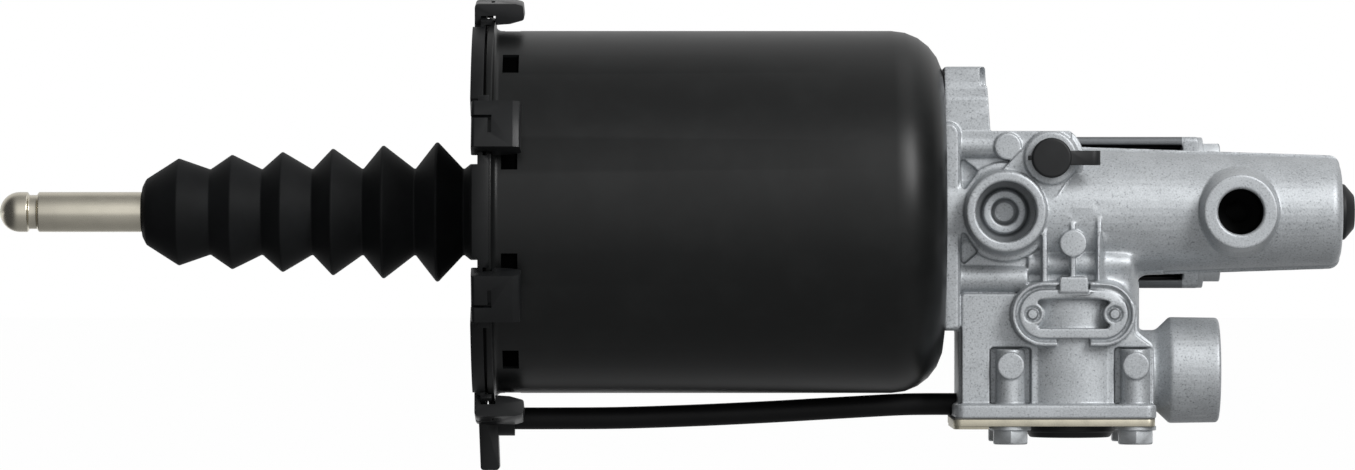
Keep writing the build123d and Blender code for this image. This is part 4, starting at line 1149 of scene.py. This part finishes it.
@dataclass
class CanAssembly:
    """Drawn can with its flange and slots."""

    open_x: float = -136.1
    outer: float = 54.3
    wall: float = 2.5
    corner: float = 15.6
    flange: float = 58.2
    flange_thickness: float = 2.0
    flare: float = 3.0
    hole: float = 17.2
    slots: int = 10
    slot_size: Pair = (4.8, 9.3)
    slot_start: float = 4.7

    def build(self, room: Showroom) -> None:
        """Model the can and hand it over."""
        room.hand_over(self.can(), "cylinder_can")

    def can(self) -> bpy.types.Object:
        """Turn the shell and cut the slots through it.

        Returns:
            The can.
        """
        inner = self.outer - self.wall
        flange_end = self.open_x + self.flange_thickness
        corners = (
            (self.open_x, inner, self.wall),
            (self.open_x, self.flange, 0.5),
            (flange_end, self.flange, 0.5),
            (flange_end, self.outer, self.flare),
            (0, self.outer, self.corner),
            (0, self.hole),
            (-self.wall, self.hole),
            (-self.wall, inner, self.corner - self.wall),
        )
        can = Bench.lathe("drawn_can", rounded(corners), segments=160, hollow=True)
        length, width = self.slot_size
        for number in range(self.slots):
            angle = math.radians((number + 0.5) * 360 / self.slots)
            turn = Matrix.Rotation(-angle, 4, "X")
            spot = turn @ Vector((self.open_x + self.slot_start + length / 2, -self.outer, 0))
            tool = Bench.block("slot_cutter", place(*spot), (length, 4 * self.wall, width), turn.to_euler())
            Bench.carve(can, tool)
        Bench.smooth(can, angle=35)
        return can


@dataclass
class HoseRun:
    """Breather hose from the duct's socket to the valve block, along a route of (x, z) stations."""

    radius: float = 3.3
    bore: float = 2.0
    y: float = 4.0
    route: tuple[Pair, ...] = (
        (-132.5, -62.0),
        (-117.0, -62.0),
        (-97.0, -61.85),
        (-74.0, -61.1),
        (-52.0, -60.05),
        (-33.0, -58.95),
        (-14.0, -57.9),
        (-5.0, -57.7),
        (4.1, -57.7),
    )
    steps: int = 6

    def build(self, room: Showroom) -> None:
        """Model the hose and hand it over."""
        room.hand_over(self.hose(), "breather_hose")

    def hose(self) -> bpy.types.Object:
        """Draw a ring along the route and give it a wall.

        Returns:
            The hose, open at both ends.
        """
        stations = [Vector((x, 0, z)) for x, z in self.route]
        fine: list[Vector] = []
        for index in range(len(stations) - 1):
            before = stations[max(index - 1, 0)]
            start, end = stations[index], stations[index + 1]
            after = stations[min(index + 2, len(stations) - 1)]
            shares = [step / self.steps for step in range(self.steps)]
            fine += [self._bend(before, start, end, after, share) for share in shares]
        fine.append(stations[-1])
        mouth = place(fine[0].x, self.y, fine[0].z)
        obj = Bench.circle("breather_hose_run", 40, self.radius, mouth, Along.X.turn)
        Bench.open_mesh(obj)
        for start, end in zip(fine, fine[1:]):
            bpy.ops.mesh.extrude_edges_move(TRANSFORM_OT_translate={"value": (end - start) * MM})
        Bench.tidy_normals(obj)
        Bench.modify(obj, "SOLIDIFY", thickness=(self.radius - self.bore) * MM, offset=-1.0)
        Bench.smooth(obj, angle=40)
        return obj

    @staticmethod
    def _bend(before: Vector, start: Vector, end: Vector, after: Vector, t: float) -> Vector:
        """Point on a smooth curve through the route's stations.

        Args:
            before: The station before the start.
            start: Where this stretch starts.
            end: Where it ends.
            after: The station after its end.
            t: Share of the stretch, from 0 to 1.

        Returns:
            The point, in millimetres.
        """
        return 0.5 * (
            2 * start
            + (end - before) * t
            + (2 * before - 5 * start + 4 * end - after) * t * t
            + (3 * start - before - 3 * end + after) * t**3
        )


@dataclass
class CoilSpring:
    """Round-wire compression spring.

    Its fixed and free ends are places along its axis.
    """

    title: str
    node: str
    joint: str
    along: Along
    centre: Corner
    fixed: float
    free: float
    travel: float
    coil_radius: float
    wire: float
    turns: float
    steps_per_turn: int = 40

    def build(self, room: Showroom) -> None:
        """Wind the spring and hand it over.

        Args:
            room: The showroom that takes it.
        """
        whole = abs(self.fixed - self.free)
        low = min(self.fixed, self.free) + self.wire
        steps = int(self.steps_per_turn * self.turns)
        obj = Bench.circle(self.title, 14, self.wire, (self.coil_radius * MM, 0, 0), (math.pi / 2, 0, 0))
        Bench.modify(
            obj,
            "SCREW",
            angle=2 * math.pi * self.turns,
            screw_offset=(whole - 2 * self.wire) * MM,
            steps=steps,
            render_steps=steps,
            axis="Z",
        )
        Bench.open_mesh(obj)
        bpy.ops.mesh.region_to_loop()
        bpy.ops.mesh.edge_face_add()
        Bench.clear()
        obj.rotation_euler = self.along.turn
        obj.location = self.along.spot(self.centre, low)
        Bench.settle(obj)
        Bench.tidy_normals(obj)
        Bench.smooth(obj, angle=50)
        room.hand_over(obj, self.node)
        anchor = self.along.spot(self.centre, self.fixed)
        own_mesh(obj)


SPRINGS = (
    CoilSpring(
        title="return_coil",
        node="return_spring",
        joint="rod_travel",
        along=Along.X,
        centre=(0, 0, 0),
        fixed=-2.8,
        free=-116.8,
        travel=60.0,
        coil_radius=33.5,
        wire=1.9,
        turns=7.0,
    ),
    CoilSpring(
        title="relay_coil",
        node="relay_spring",
        joint="relay_travel",
        along=Along.Z,
        centre=(VALVE_X, 0, 0),
        fixed=-40.95,
        free=-36.1,
        travel=1.1,
        coil_radius=9.6,
        wire=0.5,
        turns=2.0,
    ),
    CoilSpring(
        title="valve_coil",
        node="valve_spring",
        joint="inlet_travel",
        along=Along.Z,
        centre=(VALVE_X, 0, 0),
        fixed=-57.1,
        free=-44.7,
        travel=1.5,
        coil_radius=6.2,
        wire=0.6,
        turns=4.0,
    ),
)


@dataclass(frozen=True)
class Melt:
    """Box of the casting, from its low to its high corner, in which inner corners flow together."""

    low: Corner
    high: Corner
    passes: int
    fade: float = 3.0

    def work(self, skin: bpy.types.Object) -> None:
        """Smooth the skin inside the box, less towards the box's sides.

        Args:
            skin: The casting's skin.
        """
        low, high = place(*self.low), place(*self.high)
        group = skin.vertex_groups.new(name="melt")
        for corner in skin.data.vertices:
            depth = min(min(c - a, b - c) for a, c, b in zip(low, corner.co, high))
            if depth > 0:
                group.add([corner.index], min(1.0, depth / (self.fade * MM)), "REPLACE")
        Bench.modify(skin, "SMOOTH", factor=0.5, iterations=self.passes, vertex_group="melt")
        skin.vertex_groups.clear()


@dataclass(frozen=True)
class CastZone:
    """Slice of the casting between two depths, with the fineness of its skin."""

    title: str
    from_y: float
    to_y: float
    voxel: float
    passes: int
    melts: tuple[Melt, ...] = ()
    target: int = 195_000


BARREL_ROOT = Melt((44.6, -26.0, -27.0), (66.0, -2.0, -6.0), 160)
STEPPED_PORT_ROOT = Melt((22.0, -17.5, -15.0), (30.0, -8.0, 2.0), 30)


@dataclass
class CastHousing:
    """Die-cast housing: the solid's skin with the soft corners of a casting, in two slices."""

    zones: tuple[CastZone, ...] = (
        CastZone(
            "cast_housing_front",
            from_y=-40.0,
            to_y=2.0,
            voxel=0.29,
            passes=2,
            melts=(BARREL_ROOT, STEPPED_PORT_ROOT),
        ),
        CastZone("cast_housing_rear", from_y=-1.0, to_y=90.0, voxel=0.5, passes=3),
    )
    reach: float = 400.0
    quick_coarseness: float = 2.5

    def build(self, room: Showroom) -> None:
        """Skin both slices and hand them over.

        Args:
            room: The showroom that takes them.
        """
        source = room.frame["nodes"]["housing_casting"]
        for zone in self.zones:
            room.hand_over(self.slice(source, zone), "housing_casting")

    def slice(self, source: bpy.types.Object, zone: CastZone) -> bpy.types.Object:
        """Copy the solid, keep one slice of it and round it off as a casting.

        Args:
            source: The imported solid, which stays as it is.
            zone: The slice and its fineness.

        Returns:
            The finished slice.
        """
        skin = Bench.copy_solid(source, zone.title)
        middle = place(0, (zone.from_y + zone.to_y) / 2, 0)
        keep = Bench.block("slice_cutter", middle, (self.reach, zone.to_y - zone.from_y, self.reach))
        Bench.carve(skin, keep, "INTERSECT")
        voxel = zone.voxel * MM * 1
        Bench.modify(skin, "REMESH", mode="VOXEL", voxel_size=voxel)
        Bench.modify(skin, "SMOOTH", factor=0.5, iterations=zone.passes)
        triangles = sum(len(face.vertices) - 2 for face in skin.data.polygons)
        if triangles > zone.target:
            Bench.modify(skin, "DECIMATE", ratio=zone.target / triangles)
        for melt in zone.melts:
            melt.work(skin)
        Bench.pick(skin)
        bpy.ops.object.shade_smooth()
        return skin


@dataclass(frozen=True)
class SoftenedSolid:
    """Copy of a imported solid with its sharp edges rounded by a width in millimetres; angles in degrees."""

    title: str
    node: str
    width: float
    segments: int = 2
    flat_angle: float = 0.8
    edge_angle: float = 40.0

    def build(self, room: Showroom) -> None:
        """Copy the solid, merge its flat faces, round its edges and hand it over.

        Args:
            room: The showroom that holds the solid and takes the copy.
        """
        piece = Bench.copy_solid(room.frame["nodes"][self.node], self.title)
        Bench.open_mesh(piece)
        bpy.ops.mesh.dissolve_limited(angle_limit=math.radians(self.flat_angle))
        Bench.bevel(piece, self.width, self.segments, self.edge_angle)
        room.hand_over(piece, self.node)


@dataclass
class ValveCover:
    """Screws, washers and the exhaust cap under the valve block."""

    centre: Corner = (VALVE_X, 0, 0)
    spots: Pair = (18.6, 18.0)
    plate_z: float = -63.7
    washer: tuple[float, float, float] = (3.2, 6.2, 1.3)
    flats: float = 10.0
    head: float = 4.2
    shank: float = 2.55
    shank_end_z: float = -48.6
    cap_radius: float = 13.75
    cap_height: float = 3.8

    def build(self, room: Showroom) -> None:
        """Model the fasteners and the cap and hand them over.

        Args:
            room: The showroom that takes them.
        """
        room.hand_over(self.at_all_spots("cover_washers_turned", self.ring()), "valve_cover_washers")
        room.hand_over(self.at_all_spots("cover_screws", self.screw()), "valve_cover_bolts")
        room.hand_over(self.cap(), "exhaust_dome")

    def at_all_spots(self, title: str, first: bpy.types.Object) -> bpy.types.Object:
        """Copy a piece from the axis of the valve to the four screw places.

        Args:
            title: Name of the joined copies.
            first: The piece on the axis, which is used up.

        Returns:
            The four copies as one object.
        """
        across, deep = self.spots
        spots = [(side * across, row * deep) for side in (-1, 1) for row in (-1, 1)]
        copies = [Bench.copy_at(first, Matrix.Translation(Vector((x, y, 0)) * MM)) for x, y in spots]
        bpy.data.objects.remove(first, do_unlink=True)
        joined = Bench.join(title, copies)
        Bench.smooth(joined, angle=35)
        return joined

    def ring(self) -> bpy.types.Object:
        """Turn a flat washer with rounded rims.

        Returns:
            The washer, on the axis of the valve.
        """
        inner, outer, thickness = self.washer
        low = self.plate_z - thickness
        corners = ((low, inner), (low, outer, 0.25), (self.plate_z, outer, 0.25), (self.plate_z, inner))
        return Bench.lathe("washer", rounded(corners), Along.Z, self.centre, segments=48, hollow=True)

    def screw(self) -> bpy.types.Object:
        """Make a hexagon screw with a chamfered head and a plain shank, dished at its end.

        Returns:
            The screw, on the axis of the valve.
        """
        seat_z = self.plate_z - self.washer[2]
        low = seat_z - self.head
        head = Bench.hexagon("screw_head", self.flats, self.head, Along.Z, self.centre, low, -1)
        rim, dish = 0.9, 0.8
        profile = (
            (self.shank_end_z, TIP_RADIUS),
            (self.shank_end_z, self.shank - rim),
            (self.shank_end_z + dish, self.shank - 0.05),
            (seat_z - 0.5, self.shank),
        )
        stem = Bench.lathe("screw_stem", profile, Along.Z, self.centre, segments=28)
        return Bench.join("screw", [head, stem])

    def cap(self) -> bpy.types.Object:
        """Turn the stepped rubber cap with its dished middle.

        Returns:
            The cap.
        """
        top, radius = self.plate_z, self.cap_radius
        low = top - self.cap_height
        corners = (
            (top + 2.5, TIP_RADIUS),
            (top + 2.5, 8.9, 0.3),
            (top, 8.9),
            (top, radius, 0.3),
            (top - 2.0, radius, 0.6),
            (top - 2.25, radius - 0.9, 0.2),
            (low, radius - 1.7, 1.0),
            (low, 9.6, 0.3),
            (low + 0.5, 9.2, 0.3),
            (low + 0.5, 5.6, 0.3),
            (low, 5.3, 0.3),
            (low, 4.4, 0.4),
            (low + 0.8, 3.8, 0.4),
            (low + 0.8, TIP_RADIUS),
        )
        return Bench.lathe("exhaust_cap", rounded(corners, closed=False), Along.Z, self.centre)


@dataclass
class ArmBolts:
    """Two long bolts through the arm, with washers and threads that stand out at the back."""

    head_x: float = 82.0
    arm_end_x: float = 80.0
    y: float = 63.0
    z: float = 14.7
    flats: float = 13.0
    height: float = 5.3
    shank: float = 3.6
    thread_radius: float = 4.0
    pitch: float = 1.25
    reach: float = 16.0
    washer: Pair = (4.3, 8.5)

    def build(self, room: Showroom) -> None:
        """Model both bolts and both washers and hand them over.

        Args:
            room: The showroom that takes them.
        """
        bolts = [self.bolt(side * self.z) for side in (-1, 1)]
        room.hand_over(Bench.join("arm_bolts", bolts), "mounting_bolts")
        rings = [self.ring(side * self.z) for side in (-1, 1)]
        room.hand_over(Bench.join("arm_washers", rings), "mounting_washers")

    def bolt(self, z: float) -> bpy.types.Object:
        """Make a hexagon bolt with a reduced shank and a thread at its end.

        Args:
            z: Height of its axis.

        Returns:
            The bolt.
        """
        centre = (0, self.y, z)
        head = Bench.hexagon("bolt_head", self.flats, self.height, Along.X, centre, self.head_x, 1)
        profile = thread(-self.reach, -0.6, self.thread_radius, self.pitch)
        profile += [(0.0, self.thread_radius), (0.0, self.shank), (self.head_x + 0.5, self.shank)]
        stem = Bench.lathe("bolt_stem", profile, Along.X, centre, segments=36)
        bolt = Bench.join("bolt", [head, stem])
        Bench.smooth(bolt, angle=35)
        return bolt

    def ring(self, z: float) -> bpy.types.Object:
        """Turn a flat washer with rounded rims.

        Args:
            z: Height of its axis.

        Returns:
            The washer.
        """
        inner, outer = self.washer
        start, end = self.arm_end_x, self.head_x
        corners = ((start, inner), (start, outer, 0.3), (end, outer, 0.4), (end, inner))
        return Bench.lathe("washer", rounded(corners), Along.X, (0, self.y, z), segments=56, hollow=True)


@dataclass
class BarrelPlug:
    """Rubber plug with a conical head in the barrel's end; its corners are given from that end."""

    end_x: float = 119.0
    corners: tuple[Corner, ...] = (
        (-7.0, TIP_RADIUS),
        (-7.0, 5.1, 0.4),
        (0.05, 5.1),
        (0.05, 8.45, 0.4),
        (1.4, 8.3, 0.6),
        (4.2, 5.0, 0.7),
        (4.2, TIP_RADIUS),
    )

    def build(self, room: Showroom) -> None:
        """Turn the plug and hand it over.

        Args:
            room: The showroom that takes it.
        """
        corners = [(self.end_x + corner[0], *corner[1:]) for corner in self.corners]
        plug = Bench.lathe("end_plug", rounded(corners, closed=False))
        room.hand_over(plug, "barrel_end_plug")


@dataclass
class Camera:
    """Camera that stands where the photograph was taken from; lengths in metres."""

    distance: float = 2.28
    focal_px: float = 7600.0
    x: float = -0.07965
    z: float = -0.0069

    def build(self) -> None:
        """Add the camera and make it the scene's own."""
        data = bpy.data.cameras.new("view")
        data.sensor_fit = "HORIZONTAL"
        data.sensor_width = 36.0
        data.lens = data.sensor_width * self.focal_px / PHOTO_WIDTH
        data.clip_end = 50.0
        camera = bpy.data.objects.new("view", data)
        bpy.context.scene.collection.objects.link(camera)
        camera.location = (self.x, AXIS_Y * MM - self.distance, self.z)
        camera.rotation_euler = (math.pi / 2, 0, 0)
        bpy.context.scene.camera = camera


@dataclass(frozen=True)
class Lamp:
    """Soft rectangular lamp that faces a point; sizes in metres, power in watts."""

    title: str
    spot: Corner
    target: Corner
    power: float
    size: Pair

    def hang(self) -> None:
        """Add the lamp to the scene."""
        data = bpy.data.lights.new(self.title, "AREA")
        data.shape = "RECTANGLE"
        data.size, data.size_y = self.size
        data.energy = self.power
        lamp = bpy.data.objects.new(self.title, data)
        bpy.context.scene.collection.objects.link(lamp)
        lamp.location = self.spot
        aim = Vector(self.target) - Vector(self.spot)
        lamp.rotation_euler = aim.to_track_quat("-Z", "Y").to_euler()


@dataclass
class Studio:
    """White floor and backdrop, a world with a bright card in front, and soft lamps.

    Lengths are in metres. The card's stops go from the lowest direction to the highest, and the
    pairs of the card's sides and of the back are coordinates of the direction that is looked in.
    """

    floor_z: float = -0.3
    floor_front_y: float = 0.6
    floor_size: float = 24.0
    floor_colour: Colour = (0.86, 0.86, 0.86)
    floor_glow: float = 0.985
    white: Colour = (1.0, 1.0, 1.0)
    card: tuple[tuple[float, Colour], ...] = (
        (0.0, (0.28, 0.282, 0.284)),
        (0.32, (0.44, 0.443, 0.446)),
        (0.48, (0.92, 0.925, 0.93)),
        (0.75, (0.86, 0.865, 0.87)),
        (1.0, (0.32, 0.322, 0.325)),
    )
    card_left: Pair = (-0.62, -0.12)
    card_right: Pair = (0.5, 0.9)
    dim: Colour = (0.07, 0.071, 0.072)
    back: Colour = (0.72, 0.72, 0.72)
    back_from: Pair = (0.1, 0.75)
    back_above: Pair = (-0.6, -0.2)
    lamps: tuple[Lamp, ...] = (
        Lamp("key_softbox", (0.80, -1.10, 0.72), (0.02, -0.063, 0.0), power=15.0, size=(0.45, 0.8)),
        Lamp("top_softbox", (0.35, 0.0, 1.1), (0.05, -0.05, 0.0), power=1.0, size=(0.9, 0.4)),
    )

    def build(self) -> None:
        """Set up the floor, the world and the lamps."""
        self._floor()
        self._world()
        for lamp in self.lamps:
            lamp.hang()
        bpy.context.scene.view_settings.view_transform = "Standard"

    def _floor(self) -> None:
        """Lay a large pale floor that shows as plain white and takes the light as a real one does."""
        Bench.clear()
        spot = (0, self.floor_front_y + self.floor_size / 2, self.floor_z)
        bpy.ops.mesh.primitive_plane_add(size=self.floor_size, location=spot)
        floor = Bench.name("studio_floor")
        sheet = MaterialSheet("studio_white")
        plain = sheet.node("ShaderNodeBsdfDiffuse", sockets={"Color": self.floor_colour})
        glow = sheet.node("ShaderNodeEmission", sockets={"Color": self.white})
        sheet.show(sheet.blend(sheet.rays_seen() * self.floor_glow, plain, glow))
        floor.data.materials.append(sheet.material)

    def _world(self) -> None:
        """Make the world white to the camera; to all else a pale card stands in front, dim at both sides."""
        world = bpy.data.worlds.new("studio")
        bpy.context.scene.world = world
        world.use_nodes = True
        sheet = NodeSheet(world.node_tree)
        ray = sheet.node("ShaderNodeTexCoord", output="Generated")
        side, depth, height = (
            sheet.node("ShaderNodeSeparateXYZ", sockets={0: ray}, output=axis) for axis in ("X", "Y", "Z")
        )
        card = sheet.node("ShaderNodeValToRGB", {"stops": self.card}, {0: height * 0.5 + 0.5})
        lit = side.spread(*self.card_left) * (1.0 - side.spread(*self.card_right))
        front = sheet.tint(lit, self.dim, card)
        behind = depth.spread(*self.back_from) * height.spread(*self.back_above)
        seen = sheet.tint(behind, front, self.back)
        soft = sheet.node("ShaderNodeBackground", sockets={"Color": seen})
        white = sheet.node("ShaderNodeBackground", sockets={"Color": self.white})
        camera = sheet.node("ShaderNodeLightPath", output="Is Camera Ray")
        mixed = sheet.blend(camera, soft, white)
        output = sheet.tree.nodes.new("ShaderNodeOutputWorld")
        sheet.tree.links.new(mixed.socket, output.inputs["Surface"])


def main() -> None:
    """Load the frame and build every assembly."""
    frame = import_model()
    room = Showroom(frame)
    Camera().build()
    Studio().build()
    assemblies = (
        PushRodAssembly(),
        CanAssembly(),
        SoftenedSolid("moulded_cover", "end_cover", 0.3),
        SoftenedSolid("bent_clips", "cover_clips", 0.3),
        HoseRun(),
        CastHousing(),
        BarrelPlug(),
        SoftenedSolid("bleed_cap", "bleed_dust_cap", 0.3),
        SoftenedSolid("pressed_plate", "valve_cover_plate", 0.25),
        SoftenedSolid("fibre_gasket", "valve_cover_gasket", 0.08, 1),
        ValveCover(),
        ArmBolts(),
        *SPRINGS,
    )
    for assembly in assemblies:
        assembly.build(room)


if __name__ == "__main__":
    main()
